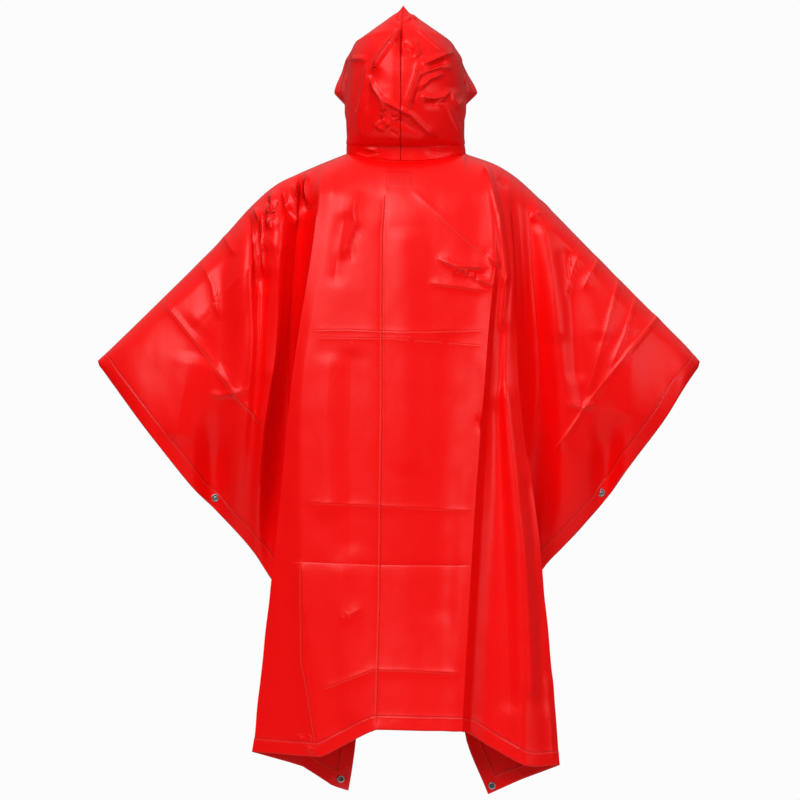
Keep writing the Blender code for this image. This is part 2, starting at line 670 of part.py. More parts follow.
def clear_lift(surface, start, direction, radii):
    """The least lift, in steps, that keeps a foot clear of the cloth, with the seam gap on top."""
    lift = 0.0
    crossing = True
    while crossing and lift < GREATEST_LIFT:
        trial = bmesh.new()
        following_foot(trial, surface, start, direction, radii, lift + LIFT_STEP)
        crossing = surface.overlap(BVHTree.FromBMesh(trial))
        trial.free()
        lift += LIFT_STEP
    return lift + SEAM_GAP - LIFT_STEP


def join_rings(mesh, first, second):
    for side in range(SNAP_SIDES):
        following = (side + 1) % SNAP_SIDES
        mesh.faces.new((first[side], first[following], second[following], second[side]))


def make_snap_half(name, surface, centre, axis, rings, material):
    """A pressed snap half that stands on the cloth along its axis."""
    mesh = bmesh.new()
    start = centre + axis * RAY_START
    lift = clear_lift(surface, start, -axis, FOOT_RADII)
    loop = following_foot(mesh, surface, start, -axis, FOOT_RADII, lift)
    height = max(vert.co.dot(axis) for vert in mesh.verts) - centre.dot(axis)
    for ring in rings:
        middle = centre + axis * (height + ring.lift * MM)
        higher = [mesh.verts.new(middle + ring_place(-axis, ring.radius, side)) for side in range(SNAP_SIDES)]
        join_rings(mesh, loop, higher)
        loop = higher
    mesh.faces.new(loop)
    return finish_object(name, mesh, material, METAL_SMOOTH_ANGLE)


def make_snap_core(name, behind, before, centre, axis, material):
    """The joined halves of a closed snap, as long as the room between the two hems."""
    mesh = bmesh.new()
    first = following_foot(mesh, behind, centre, axis, SNAP_CORE_RADII, SEAM_GAP)
    second = following_foot(mesh, before, centre, -axis, SNAP_CORE_RADII, SEAM_GAP)
    matched = sorted(second, key=lambda vert: nearest_side(first, vert, axis))
    join_rings(mesh, first, matched)
    return finish_object(name, mesh, material, METAL_SMOOTH_ANGLE)


def nearest_side(ring, vert, axis):
    """The number of the ring's corner that lies opposite a point, seen along the axis."""
    apart = [((corner.co - vert.co) - axis * (corner.co - vert.co).dot(axis)).length for corner in ring]
    return apart.index(min(apart))


def make_label(name, surface, material):
    """A small patch that follows the back panel's inner face."""
    grid = []
    for i in range(LABEL_STEPS + 1):
        across = between(LABEL_LEFT, LABEL_RIGHT, i / LABEL_STEPS) * MM
        line = []
        for j in range(LABEL_STEPS + 1):
            height = between(LABEL_TOP, LABEL_FOOT, j / LABEL_STEPS) * MM
            hit = surface.ray_cast(Vector((across, 0, height)), Vector((0, -1, 0)))[0]
            line.append(hit + Vector((0, SEAM_GAP * 1.5 + LABEL_WALL / 2, 0)))
        grid.append(line)
    normals = grid_normals(grid)
    walls = [[LABEL_WALL for _ in line] for line in grid]
    return wall_object(name, grid, normals, walls, material)


def make_corner_snaps(place, surface, inward, material):
    """An open snap: its working half on the cloth's inner face and its cap on the outer face."""
    near = Vector((place.across, place.depth, place.height)) * MM
    centre, axis, _, _ = surface.find_nearest(near)
    if axis.y * inward < 0:
        axis = -axis
    make_snap_half(f"corner_snap_{place.name}_socket", surface, centre, axis, SNAP_SOCKET, material)
    make_snap_half(f"corner_snap_{place.name}_cap", surface, centre, -axis, SNAP_CAP, material)


def make_side_snap(place, back, front, material):
    """A closed snap that holds the side hems together: a cap outside each, and the joined halves between."""
    centre = Vector((place.across, place.depth, place.height)) * MM
    behind = Vector((0, -1, 0))
    make_snap_core(f"side_snap_{place.name}_core", back, front, centre, behind, material)
    for side_name, surface, axis in (("back", back, behind), ("front", front, -behind)):
        foot = surface.ray_cast(centre, axis)[0]
        make_snap_half(f"side_snap_{place.name}_{side_name}", surface, foot, axis, SNAP_CAP, material)


def main():
    clear_scene()
    cloth = make_material("red_coated_cloth", COATED_CLOTH)
    metal = make_material("snap_metal", SNAP_METAL)
    label_cloth = make_material("label_cloth", LABEL_CLOTH)
    back_panel = make_panel("back_panel", LEFT_WING + BACK_BODY + RIGHT_WING, -1, cloth)
    front_panel = make_panel("front_panel", LEFT_WING + FRONT_BODY + RIGHT_WING, 1, cloth)
    make_hood_half("hood_left", -1, cloth)
    make_hood_half("hood_right", 1, cloth)
    back, front = surface_of(back_panel), surface_of(front_panel)
    make_label("neck_label", back, label_cloth)
    for place in SIDE_SNAPS:
        make_side_snap(place, back, front, metal)
    for place in BACK_CORNER_SNAPS:
        make_corner_snaps(place, back, -1, metal)
    for place in FRONT_CORNER_SNAPS:
        make_corner_snaps(place, front, 1, metal)


main()
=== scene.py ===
import math
from collections import namedtuple

import bmesh
import bpy
import numpy as np
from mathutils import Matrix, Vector, noise
from mathutils.bvhtree import BVHTree


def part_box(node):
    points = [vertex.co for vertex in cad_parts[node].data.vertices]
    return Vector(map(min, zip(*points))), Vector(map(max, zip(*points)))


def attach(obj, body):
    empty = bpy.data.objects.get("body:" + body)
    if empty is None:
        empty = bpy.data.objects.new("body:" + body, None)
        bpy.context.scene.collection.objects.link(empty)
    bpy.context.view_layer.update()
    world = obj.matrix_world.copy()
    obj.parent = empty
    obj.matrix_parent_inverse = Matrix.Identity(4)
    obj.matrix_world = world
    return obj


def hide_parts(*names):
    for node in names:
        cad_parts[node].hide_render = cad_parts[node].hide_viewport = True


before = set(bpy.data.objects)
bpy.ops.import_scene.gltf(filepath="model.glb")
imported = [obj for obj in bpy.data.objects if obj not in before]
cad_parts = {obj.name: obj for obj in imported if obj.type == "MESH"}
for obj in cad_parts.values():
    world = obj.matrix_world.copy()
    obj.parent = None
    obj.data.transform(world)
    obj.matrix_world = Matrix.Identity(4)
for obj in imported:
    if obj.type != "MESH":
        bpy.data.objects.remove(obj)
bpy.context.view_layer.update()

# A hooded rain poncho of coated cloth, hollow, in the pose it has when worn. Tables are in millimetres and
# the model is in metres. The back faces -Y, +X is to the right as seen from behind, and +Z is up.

MM = 0.001
CLOTH_SMOOTH_ANGLE = 55
METAL_SMOOTH_ANGLE = 38

# The hem is folded over, so its wall is thicker. Each shell is made as thick as a hem and thinned elsewhere.
HEM_WALL = 2.5 * MM
CLOTH_WALL_SHARE = 0.52
HEM_WIDTH = 25 * MM
FULL_HEM_WALL = HEM_WIDTH - 2 * MM
HEM_WALL_END = HEM_WIDTH + 1.5 * MM
LEAST_HEM_SLANT = 0.45
HIGHEST_HEM = 0.4
TINY = 1e-12

# ------------------------------------------------ the cut and the pose, as in the part's source

NECK_MIDDLE_X = 10
NECK_HALF_WIDTH = 104.5
NECK_BACK_DEPTH = 72
NECK_FRONT_DEPTH = 88
NECK_SIDE_HEIGHT = 7
NECK_BACK_DROP = 13
NECK_FRONT_DROP = 37
SEAM_ANGLE = -math.degrees(math.asin(NECK_MIDDLE_X / NECK_HALF_WIDTH))
FRONT_EDGE_ANGLE = 179.4
SEAM_SETTLE_POWER = 6

ArmPoint = namedtuple("ArmPoint", "across height")
LEFT_ARM_LINE = [
    ArmPoint(-532, -358),
    ArmPoint(-426, -255),
    ArmPoint(-311, -140),
    ArmPoint(-267, -91),
    ArmPoint(-216, -46),
    ArmPoint(-182, -29.5),
    ArmPoint(-142, -12),
    ArmPoint(-94.5, 7),
]
RIGHT_ARM_LINE = [
    ArmPoint(114.5, 7),
    ArmPoint(180, -19),
    ArmPoint(206, -37),
    ArmPoint(239, -67),
    ArmPoint(342, -171),
    ArmPoint(451, -281),
    ArmPoint(511, -341),
    ArmPoint(526, -359),
]

# A fold's five places run from the seam down to the free edge. depth is how far the cloth hangs behind the
# arm line, or before it on the front panel. rounding is how far down the cloth takes to turn over that line.
# crisp is 0 for a soft fold and 1 for a knife edge. neck is its angle round the neck, where it starts there.
Fold = namedtuple("Fold", "name across depth height rounding crisp neck", defaults=(None,))

LEFT_WING = [
    Fold("wing tip", (-532, -531, -530, -528, -525), (8, 9, 10, 10, 10),
         (-358, -361, -364, -367, -370), 6, 0),
    Fold("cuff outer", (-480, -480, -480, -479, -478), (20, 34, 42, 46, 44),
         (-309, -340, -372, -405, -436), 20, 0),
    Fold("cuff middle", (-426, -426, -426, -425, -423), (32, 48, 58, 62, 58),
         (-257, -310, -380, -450, -509), 35, 0),
    Fold("cuff inner", (-368, -368, -370, -371, -371), (42, 58, 66, 62, 40),
         (-199, -280, -380, -480, -574), 45, 0),
    Fold("snap line", (-311, -315, -325, -332, -334), (46, 62, 60, 7, 4),
         (-140, -250, -430, -570, -611), 45, 0),
    Fold("arm ridge", (-260, -260, -262, -276, -290), (50, 84, 88, 62, 6),
         (-87, -190, -340, -500, -656), 45, 0.3),
    Fold("arm dip", (-246, -246, -249, -262, -273), (50, 68, 76, 56, 6),
         (-75, -180, -330, -500, -675), 45, 0),
    Fold("wing ridge", (-216, -216, -218, -240, -255), (55, 90, 94, 82, 8),
         (-48, -160, -320, -477, -697), 45, 0.4),
]
RIGHT_WING = [
    Fold("wing ridge", (239, 262, 275, 282, 289), (58, 72, 66, 42, 6), (-65, -220, -400, -560, -681), 45, 0),
    Fold("arm dip", (290, 305, 320, 326, 333), (52, 64, 62, 46, 6), (-116, -260, -400, -520, -633), 45, 0),
    Fold("snap line", (342, 348, 354, 360, 361), (46, 68, 64, 7, 4), (-171, -285, -430, -562, -601), 45, 0),
    Fold("cuff inner", (400, 401, 402, 403, 404), (42, 60, 68, 62, 42),
         (-231, -310, -390, -470, -541), 45, 0),
    Fold("cuff middle", (451, 453, 457, 462, 467), (32, 46, 54, 56, 50),
         (-283, -325, -370, -415, -456), 35, 0),
    Fold("cuff outer", (500, 501, 502, 503, 503), (20, 30, 36, 40, 40),
         (-332, -348, -364, -380, -397), 20, 0),
    Fold("wing tip", (526, 525, 524, 523, 521), (8, 9, 10, 10, 10), (-359, -362, -365, -368, -371), 6, 0),
]
BACK_BODY = [
    Fold("valley side", (-177, -189, -202, -217, -226), (55, 44, 28, 17, 9),
         (-28, -160, -340, -540, -743), 50, 0),
    Fold("valley floor", (-170, -183, -194, -172, -158), (56, 42, 23, 15, 13),
         (-24, -160, -400, -640, -835), 50, 0),
    Fold("flap turn", (-163, -177, -184, -142, -95), (58, 46, 31, 28, 27),
         (-21, -160, -380, -700, -925), 50, 0),
    Fold("flap edge", (-157, -172, -181, -152, -77), (60, 52, 42, 43, 43),
         (-19, -160, -380, -743, -1005), 50, 0.5),
    Fold("corner", (-152, -167, -181, -172, -92), (66, 64, 56, 50, 50),
         (-17, -160, -380, -743, -1122), 50, 1),
    Fold("flap hem", (-145, -160, -180, -198, -172), (74, 86, 82, 66, 54),
         (-14, -160, -360, -700, -1070), 55, 0.8),
    Fold("body edge", (-136, -153, -185, -218, -260), (88, 112, 120, 112, 88),
         (-10, -150, -350, -667, -1044), 60, 1),
    Fold("left crease", (-116, -130, -166, -174, -140), (96, 118, 130, 138, 152),
         (-2, -150, -350, -680, -1052), 70, 0.7),
    Fold("neck left", (-94.5, -104, -120, -120, -98), (96, 122, 137, 148, 160),
         (7, -150, -400, -700, -1031), 90, 0, -90),
    Fold("left panel", (-80, -76, -78, -80, -72), (102, 125, 141, 151, 168),
         (4, -150, -400, -700, -1017), 100, 0, -60),
    Fold("pack crease", (-42, -36, -33, -36, -43), (108, 127, 146, 158, 178),
         (-3, -150, -440, -760, -1004), 110, 0.8, -30),
    Fold("centre back", (0, 0, 2, 4, 5), (112, 129, 147, 161, 182),
         (-6, -150, -440, -760, -1005), 110, 0, SEAM_ANGLE),
    Fold("right panel", (62, 60, 56, 50, 45), (107, 126, 143, 161, 183),
         (-3, -150, -440, -760, -1006), 110, 0, 30),
    Fold("pleat panel", (100, 95, 92, 80, 72), (102, 125, 142, 161, 184),
         (4, -150, -440, -760, -1006), 100, 0, 60),
    Fold("neck right", (114.5, 128, 122, 105, 90), (96, 122, 143, 162, 185),
         (7, -150, -400, -700, -1007), 90, 0, 90),
    Fold("pleat edge", (143, 163, 152, 130, 107), (90, 116, 143, 160, 185),
         (-4, -120, -330, -620, -1007), 70, 1),
    Fold("pleat floor", (150, 172, 161, 143, 119), (84, 110, 120, 132, 140),
         (-7, -120, -330, -620, -1010), 65, 0.8),
    Fold("side hollow", (161, 184, 174, 172, 170), (76, 104, 114, 124, 130),
         (-11, -130, -390, -680, -1042), 60, 0),
    Fold("side ridge", (174, 194, 184, 207, 218), (72, 101, 118, 136, 142),
         (-16, -150, -400, -690, -1067), 55, 0.3),
    Fold("body edge", (190, 199, 208, 241, 279), (70, 97, 103, 106, 96),
         (-25, -200, -395, -650, -1067), 50, 0.9),
    Fold("flap hem", (197, 207, 216, 230, 212), (66, 88, 82, 68, 56),
         (-29, -200, -400, -680, -1093), 50, 0.8),
    Fold("corner", (203, 213, 222, 214, 154), (65, 80, 68, 52, 52), (-33, -200, -400, -743, -1119), 50, 1),
    Fold("flap edge", (208, 219, 228, 196, 113), (64, 75, 56, 43, 43), (-36, -200, -400, -743, -1008), 50, 0),
    Fold("flap turn", (213, 224, 234, 186, 134), (62, 70, 44, 28, 27), (-40, -200, -400, -700, -925), 50, 0),
    Fold("valley floor", (218, 230, 243, 214, 190), (60, 66, 38, 16, 13),
         (-45, -200, -400, -640, -835), 50, 0),
    Fold("valley side", (225, 238, 252, 258, 250), (60, 64, 42, 23, 9), (-51, -200, -400, -560, -724), 50, 0),
]
FRONT_BODY = [
    Fold("valley side", (-177, -189, -202, -217, -225), (55, 46, 30, 17, 9),
         (-28, -160, -340, -540, -738), 50, 0),
    Fold("valley floor", (-170, -183, -194, -176, -164), (56, 44, 24, 15, 13),
         (-24, -160, -400, -640, -820), 50, 0),
    Fold("flap turn", (-163, -177, -186, -150, -124), (58, 47, 33, 28, 27),
         (-21, -160, -380, -680, -895), 50, 0),
    Fold("corner", (-154, -169, -183, -172, -132), (64, 64, 56, 50, 54),
         (-18, -160, -380, -740, -1030), 50, 1),
    Fold("flap hem", (-145, -160, -179, -196, -194), (74, 86, 82, 70, 66),
         (-14, -160, -360, -700, -1022), 55, 0),
    Fold("body edge", (-134, -150, -180, -212, -248), (88, 112, 120, 112, 92),
         (-9, -150, -350, -667, -1008), 60, 0.5),
    Fold("left ridge", (-114, -128, -150, -160, -162), (96, 122, 140, 152, 160),
         (-1, -150, -350, -680, -1000), 70, 0.3),
    Fold("neck left", (-94.5, -100, -106, -112, -114), (96, 123, 133, 140, 147),
         (7, -150, -400, -700, -992), 90, 0, -90),
    Fold("left panel", (-80, -72, -72, -76, -80), (112, 130, 145, 156, 166),
         (-2, -150, -400, -700, -988), 100, 0, -60),
    Fold("left hollow", (-42, -34, -32, -34, -38), (122, 135, 144, 152, 158),
         (-20, -160, -420, -720, -984), 100, 0, -30),
    Fold("centre front", (10, 10, 11, 11, 11), (126, 137, 149, 159, 167),
         (-30, -170, -440, -730, -982), 100, 0, 0),
    Fold("right panel", (62, 56, 60, 66, 70), (121, 134, 150, 164, 178),
         (-20, -160, -420, -720, -983), 100, 0.2, 30),
    Fold("right hollow", (100, 94, 96, 102, 108), (112, 129, 138, 144, 150),
         (-2, -150, -400, -700, -986), 100, 0, 60),
    Fold("neck right", (114.5, 122, 130, 142, 152), (96, 122, 136, 147, 156),
         (7, -150, -400, -700, -991), 90, 0, 90),
    Fold("side slope", (152, 160, 170, 196, 214), (82, 108, 124, 134, 138),
         (-8, -150, -400, -690, -1003), 60, 0),
    Fold("body edge", (190, 199, 208, 240, 266), (70, 98, 106, 108, 98),
         (-25, -200, -395, -650, -1014), 50, 0.4),
    Fold("flap hem", (197, 207, 215, 228, 224), (66, 88, 84, 72, 66), (-29, -200, -400, -680, -1036), 50, 0),
    Fold("corner", (204, 214, 224, 214, 174), (64, 79, 66, 52, 56), (-34, -200, -400, -743, -1044), 50, 1),
    Fold("flap turn", (212, 223, 234, 194, 164), (62, 70, 44, 30, 28), (-39, -200, -400, -690, -905), 50, 0),
    Fold("valley floor", (218, 230, 243, 216, 200), (60, 66, 38, 16, 13),
         (-45, -200, -400, -640, -825), 50, 0),
    Fold("valley side", (225, 238, 252, 258, 249), (60, 64, 42, 23, 9), (-51, -200, -400, -560, -719), 50, 0),
]

# The back's left lower corner is bent under: everything within its reach turns forward and up.
CornerBend = namedtuple("CornerBend", "across height reach forward lift")
BACK_CORNER_BEND = CornerBend(-92, -1122, 32, 1.0, 0.3)

# A part of a panel runs from one fold to another, counted across the panel from the left hand.
BACK_PARTS = {"left wing": (0, 8), "left pleat": (6, 14), "body": (14, 27), "right wing": (33, 40)}
FRONT_PARTS = {"left wing": (0, 8), "body": (13, 23), "right wing": (28, 35)}

# A crease's path is across and height. rise is how far it stands out, width how far it spreads, crisp 0 for a
# soft roll and 1 for a sharp bend, and line how clearly a fine pressed line runs along it, with painted shade
# in its groove and painted highlight on its lip. Creases that cross or run close together lie in different
# layers, because a layer marks only the nearest of its creases.
Crease = namedtuple("Crease", "name layer rise width crisp line path")
BACK_CREASES = {
    "left wing": [
        Crease("arm packing line", 0, 2.2, 16, 1, 1.0,
               ((-420, -250), (-340, -347), (-291, -417), (-236, -476))),
        Crease("packing kink", 1, 3.0, 11, 0.7, 0.4, ((-344, -415), (-313, -419), (-262, -407))),
        Crease("cuff roll", 2, 4.0, 26, 0.2, 0, ((-366, -340), (-384, -430), (-400, -505))),
        Crease("arm nick", 1, 2.4, 9, 0.8, 0.3, ((-313, -134), (-288, -176))),
        Crease("arm stroke", 2, 2.6, 12, 0.6, 0.2, ((-352, -178), (-330, -226), (-318, -290))),
        Crease("long diagonal", 2, 5.0, 34, 0.2, 0, ((-196, -90), (-270, -200), (-372, -300))),
        Crease("hollow under it", 2, -4.5, 28, 0.1, 0, ((-222, -150), (-268, -270), (-330, -380))),
        Crease("outer gather", 0, 7.0, 12, 0.9, 0.2, ((-256, -84), (-244, -137), (-238, -215))),
        Crease("outer stroke", 1, -5.5, 11, 0.8, 0.1, ((-268, -96), (-258, -150), (-252, -240))),
        Crease("gather ridge", 2, 8.0, 10, 0.9, 0.2, ((-223, -54), (-229, -88), (-226, -135))),
        Crease("ridge down the arm", 2, 3.0, 14, 0.4, 0, ((-226, -130), (-232, -260), (-236, -400))),
    ],
    "left pleat": [
        Crease("gather stroke", 1, -6.5, 9, 0.9, 0.3, ((-235, -68), (-224, -97), (-212, -72))),
        Crease("second stroke", 0, -7.0, 9, 0.9, 0.3, ((-208, -54), (-202, -84), (-190, -112))),
        Crease("second ridge", 1, 8.0, 9, 0.9, 0.3, ((-191, -42), (-184, -72), (-190, -125))),
        Crease("inner stroke", 2, -6.5, 8, 0.9, 0.3, ((-182, -28), (-174, -66), (-159, -104))),
        Crease("inner ridge", 0, 7.0, 8, 0.9, 0.3, ((-162, -22), (-167, -54), (-163, -96))),
    ],
    "body": [
        Crease("first packing line", 0, 0.6, 12, 1, 1.0,
               ((-158, -303), (-100, -302), (-1, -306), (152, -303))),
        Crease("second packing line", 1, 0.5, 12, 1, 0.7,
               ((-154, -316), (-29, -317), (60, -322), (152, -331))),
        Crease("third packing line", 0, 1.0, 16, 1, 0.6, ((-173, -605), (-36, -611), (131, -620))),
        Crease("fourth packing line", 0, -1.0, 16, 1, 0.6, ((-194, -709), (-36, -715), (126, -716))),
        Crease("low packing line", 0, 1.6, 18, 1, 0.8, ((-145, -935), (-48, -898), (30, -900), (112, -906))),
        Crease("upright packing line", 2, -1.8, 18, 1, 1.0,
               ((-26, -60), (-32, -140), (-33, -440), (-37, -800), (-43, -1004))),
        Crease("left lower line", 1, 1.8, 16, 1, 1.0,
               ((-174, -700), (-172, -883), (-162, -935), (-144, -1045))),
        Crease("shoulder diagonal", 0, 1.2, 14, 1, 0.7, ((17, -56), (75, -109), (120, -148), (160, -178))),
        Crease("star upper", 0, 4.0, 10, 0.9, 0.5, ((60, -176), (99, -193), (158, -194))),
        Crease("star lower", 1, 4.4, 9, 0.9, 0.5, ((88, -210), (101, -197), (134, -213), (168, -230))),
        Crease("star hollow", 1, -3.6, 9, 0.5, 0, ((104, -203), (130, -206), (158, -210))),
        Crease("star foot", 2, 2.4, 10, 0.9, 0.6, ((44, -220), (100, -227), (156, -236))),
        Crease("knot", 2, 4.2, 9, 0.8, 0.4, ((150, -168), (172, -194), (180, -232))),
        Crease("left soft fold", 1, 3.6, 14, 0.6, 0.3,
               ((-75, -56), (-84, -95), (-80, -114), (-94, -150), (-106, -184))),
        Crease("left soft hollow", 2, -3.0, 14, 0.2, 0, ((-100, -90), (-108, -140), (-118, -230))),
        Crease("left short stroke", 0, -2.4, 9, 0.6, 0.3, ((-70, -112), (-84, -150), (-88, -190))),
        Crease("long left roll", 1, 2.8, 22, 0.1, 0, ((-124, -340), (-130, -480), (-122, -640))),
        Crease("long left hollow", 1, -2.6, 22, 0.1, 0, ((-86, -330), (-92, -500), (-88, -700))),
        Crease("middle roll", 1, 2.2, 26, 0, 0, ((4, -120), (20, -330), (14, -560))),
        Crease("right hollow", 1, -2.2, 24, 0, 0, ((80, -300), (74, -520), (66, -820))),
        Crease("low left roll", 1, 2.6, 24, 0.1, 0, ((-104, -700), (-92, -850), (-84, -1000))),
        Crease("low stroke", 1, 2.0, 9, 0.7, 0.2, ((-108, -815), (-84, -800), (-62, -790))),
        Crease("label mark", 1, 0.8, 8, 1, 0.4, ((-25, -18), (-28, -74))),
        Crease("side notch", 0, -2.4, 7, 0.7, 0.3, ((128, -458), (137, -466), (140, -482))),
        Crease("foot fan upper", 0, 3.0, 6, 0.8, 0.4, ((-170, -1030), (-145, -1048))),
        Crease("foot fan lower", 1, 2.4, 5, 0.8, 0.4, ((-184, -1010), (-174, -1028))),
        Crease("right soft ridge", 1, 4.4, 14, 0.4, 0,
               ((182, -394), (196, -514), (212, -667), (221, -778), (228, -954))),
        Crease("right soft hollow", 2, -4.0, 16, 0.1, 0,
               ((164, -420), (174, -560), (184, -760), (192, -980))),
        Crease("right outer hollow", 0, -3.0, 12, 0.2, 0, ((222, -560), (240, -760), (250, -980))),
        Crease("edge ridge", 0, 2.4, 8, 0.7, 0.4, ((256, -900), (262, -1000), (266, -1066))),
        Crease("right shoulder line", 1, 4.4, 11, 0.9, 0.3,
               ((143, -8), (152, -30), (170, -100), (179, -160), (184, -209), (177, -310))),
        Crease("right dent", 0, -3.0, 7, 0.6, 0.2, ((168, -36), (180, -46), (190, -54))),
    ],
    "right wing": [
        Crease("arm packing line", 0, 2.4, 17, 1, 0.9, ((465, -262), (395, -347), (322, -441), (270, -520))),
        Crease("packing kink", 1, 2.6, 9, 0.7, 0.4, ((286, -430), (318, -440), (352, -432))),
        Crease("long line", 1, 2.2, 13, 1, 0.6, ((384, -205), (360, -310), (328, -420))),
        Crease("short line", 2, 1.8, 12, 1, 0.5, ((414, -240), (392, -312), (368, -372))),
        Crease("upper nick", 0, 2.6, 9, 0.8, 0.5, ((350, -170), (334, -204), (318, -236))),
        Crease("second nick", 2, 2.2, 9, 0.8, 0.3, ((316, -160), (302, -200), (292, -250))),
        Crease("shoulder arc", 1, 3.0, 8, 0.8, 0.4, ((246, -92), (232, -106), (214, -112))),
        Crease("shoulder roll", 2, 4.2, 18, 0.2, 0, ((250, -110), (266, -200), (276, -330))),
        Crease("shoulder hollow", 2, -4.0, 16, 0.1, 0, ((284, -150), (300, -270), (308, -400))),
        Crease("arm roll", 2, 3.4, 22, 0.1, 0, ((410, -280), (404, -370), (392, -470))),
        Crease("arm hollow", 2, -3.0, 20, 0.1, 0, ((352, -300), (350, -400), (344, -520))),
    ],
}
FRONT_CREASES = {
    "left wing": [
        Crease("arm packing line", 0, 2.0, 16, 1, 0.9,
               ((-440, -268), (-372, -344), (-300, -416), (-246, -470))),
        Crease("gather hollow", 1, -4.5, 10, 0.6, 0.2, ((-262, -100), (-250, -140), (-240, -186))),
        Crease("gather ridge", 2, 4.5, 9, 0.7, 0.2, ((-240, -70), (-232, -120), (-216, -160))),
        Crease("long arm roll", 1, 4.0, 28, 0.1, 0, ((-336, -190), (-348, -310), (-350, -430))),
        Crease("long arm hollow", 2, -3.5, 24, 0.1, 0, ((-392, -250), (-400, -340), (-398, -440))),
    ],
    "body": [
        Crease("first packing line", 0, 1.0, 14, 1, 1.0, ((-150, -300), (0, -303), (150, -308))),
        Crease("third packing line", 0, 0.9, 16, 1, 0.6, ((-170, -600), (0, -606), (140, -602))),
        Crease("low packing line", 0, 1.4, 18, 1, 0.7, ((-190, -900), (-20, -908), (150, -898))),
        Crease("upright packing line", 2, -1.4, 16, 1, 1.0, ((12, -60), (14, -320), (10, -700), (12, -980))),
        Crease("left soft fold", 1, 3.4, 16, 0.3, 0, ((-96, -60), (-110, -170), (-120, -330), (-128, -560))),
        Crease("right soft fold", 1, 3.4, 16, 0.3, 0, ((112, -60), (128, -190), (138, -400), (150, -660))),
        Crease("neck drape", 1, -3.2, 16, 0.3, 0, ((-70, -86), (6, -132), (80, -88))),
        Crease("chest drape", 1, 3.0, 18, 0.3, 0, ((-94, -124), (4, -182), (104, -130))),
        Crease("shoulder diagonal", 0, 1.2, 12, 1, 0.6, ((-40, -80), (-100, -140), (-140, -190))),
        Crease("star upper", 0, 3.6, 10, 0.9, 0.5, ((-150, -214), (-104, -222), (-66, -206))),
        Crease("star lower", 1, 3.4, 9, 0.9, 0.5, ((-146, -246), (-112, -228), (-90, -238))),
        Crease("middle roll", 1, 3.0, 24, 0.1, 0, ((40, -300), (48, -520), (56, -860))),
        Crease("middle hollow", 1, -3.0, 24, 0.1, 0, ((-30, -320), (-34, -560), (-40, -880))),
    ],
    "right wing": [
        Crease("arm packing line", 0, 2.0, 16, 1, 0.9, ((446, -276), (380, -360), (322, -436), (284, -480))),
        Crease("long line", 1, 1.8, 12, 1, 0.5, ((376, -210), (356, -316), (338, -402))),
        Crease("gather hollow", 1, -4.5, 10, 0.6, 0.2, ((260, -88), (276, -130), (284, -180))),
        Crease("gather ridge", 2, 4.5, 10, 0.7, 0.2, ((236, -70), (256, -116), (262, -170))),
        Crease("arm roll", 2, 3.6, 22, 0.1, 0, ((402, -262), (398, -352), (390, -460))),
    ],
}

# The hood's sections, from the neck seam up to the crown seam: heights at the centre back, the side and the
# face edge, then how far it reaches to the back, to each side and to the face edge.
HoodSection = namedtuple(
    "HoodSection",
    "name level back_height side_height face_height back_depth left right face_left face_right face_depth",
)
HOOD_SECTIONS = [
    HoodSection("band top", 0.07, 20, 24, -6, 73, -94, 112, -4, 7, 90),
    HoodSection("blouse fold", 0.10, 23, 26, -2, 86, -95, 113, -8, 12, 93),
    HoodSection("blouse", 0.16, 34, 34, 10, 102, -94, 112, -24, 32, 95),
    HoodSection("nape", 0.28, 62, 60, 42, 118, -95, 112, -60, 74, 93),
    HoodSection("cheek", 0.42, 100, 96, 88, 130, -95, 113, -90, 108, 80),
    HoodSection("face tip", 0.50, 122, 116, 115, 132, -94, 111, -116, 135, 73),
    HoodSection("temple", 0.62, 156, 146, 150, 131, -92, 109, -103, 117, 84),
    HoodSection("crown side", 0.76, 194, 182, 183, 122, -88, 101, -90, 98, 93),
    HoodSection("crown corner", 0.86, 222, 205, 203, 106, -78, 85, -64, 68, 99),
    HoodSection("crown seam", 1.00, 267, 261, 222, 56, 0, 0, 0, 0, 104),
]
BAND_TOP = HOOD_SECTIONS[0].level
BLOUSE_FOLD = HOOD_SECTIONS[1].level
CRISP_HOOD_SECTIONS = {"band top": 0.6, "blouse fold": 0.6, "face tip": 0.7, "crown corner": 0.9}
HOOD_SIDE_DEPTH = 15
HOOD_SIDE_FULLNESS = 0.85
HOOD_BACK_DIP = 1.5
APEX_SHIFT = 5
APEX_SHIFT_POWER = 6

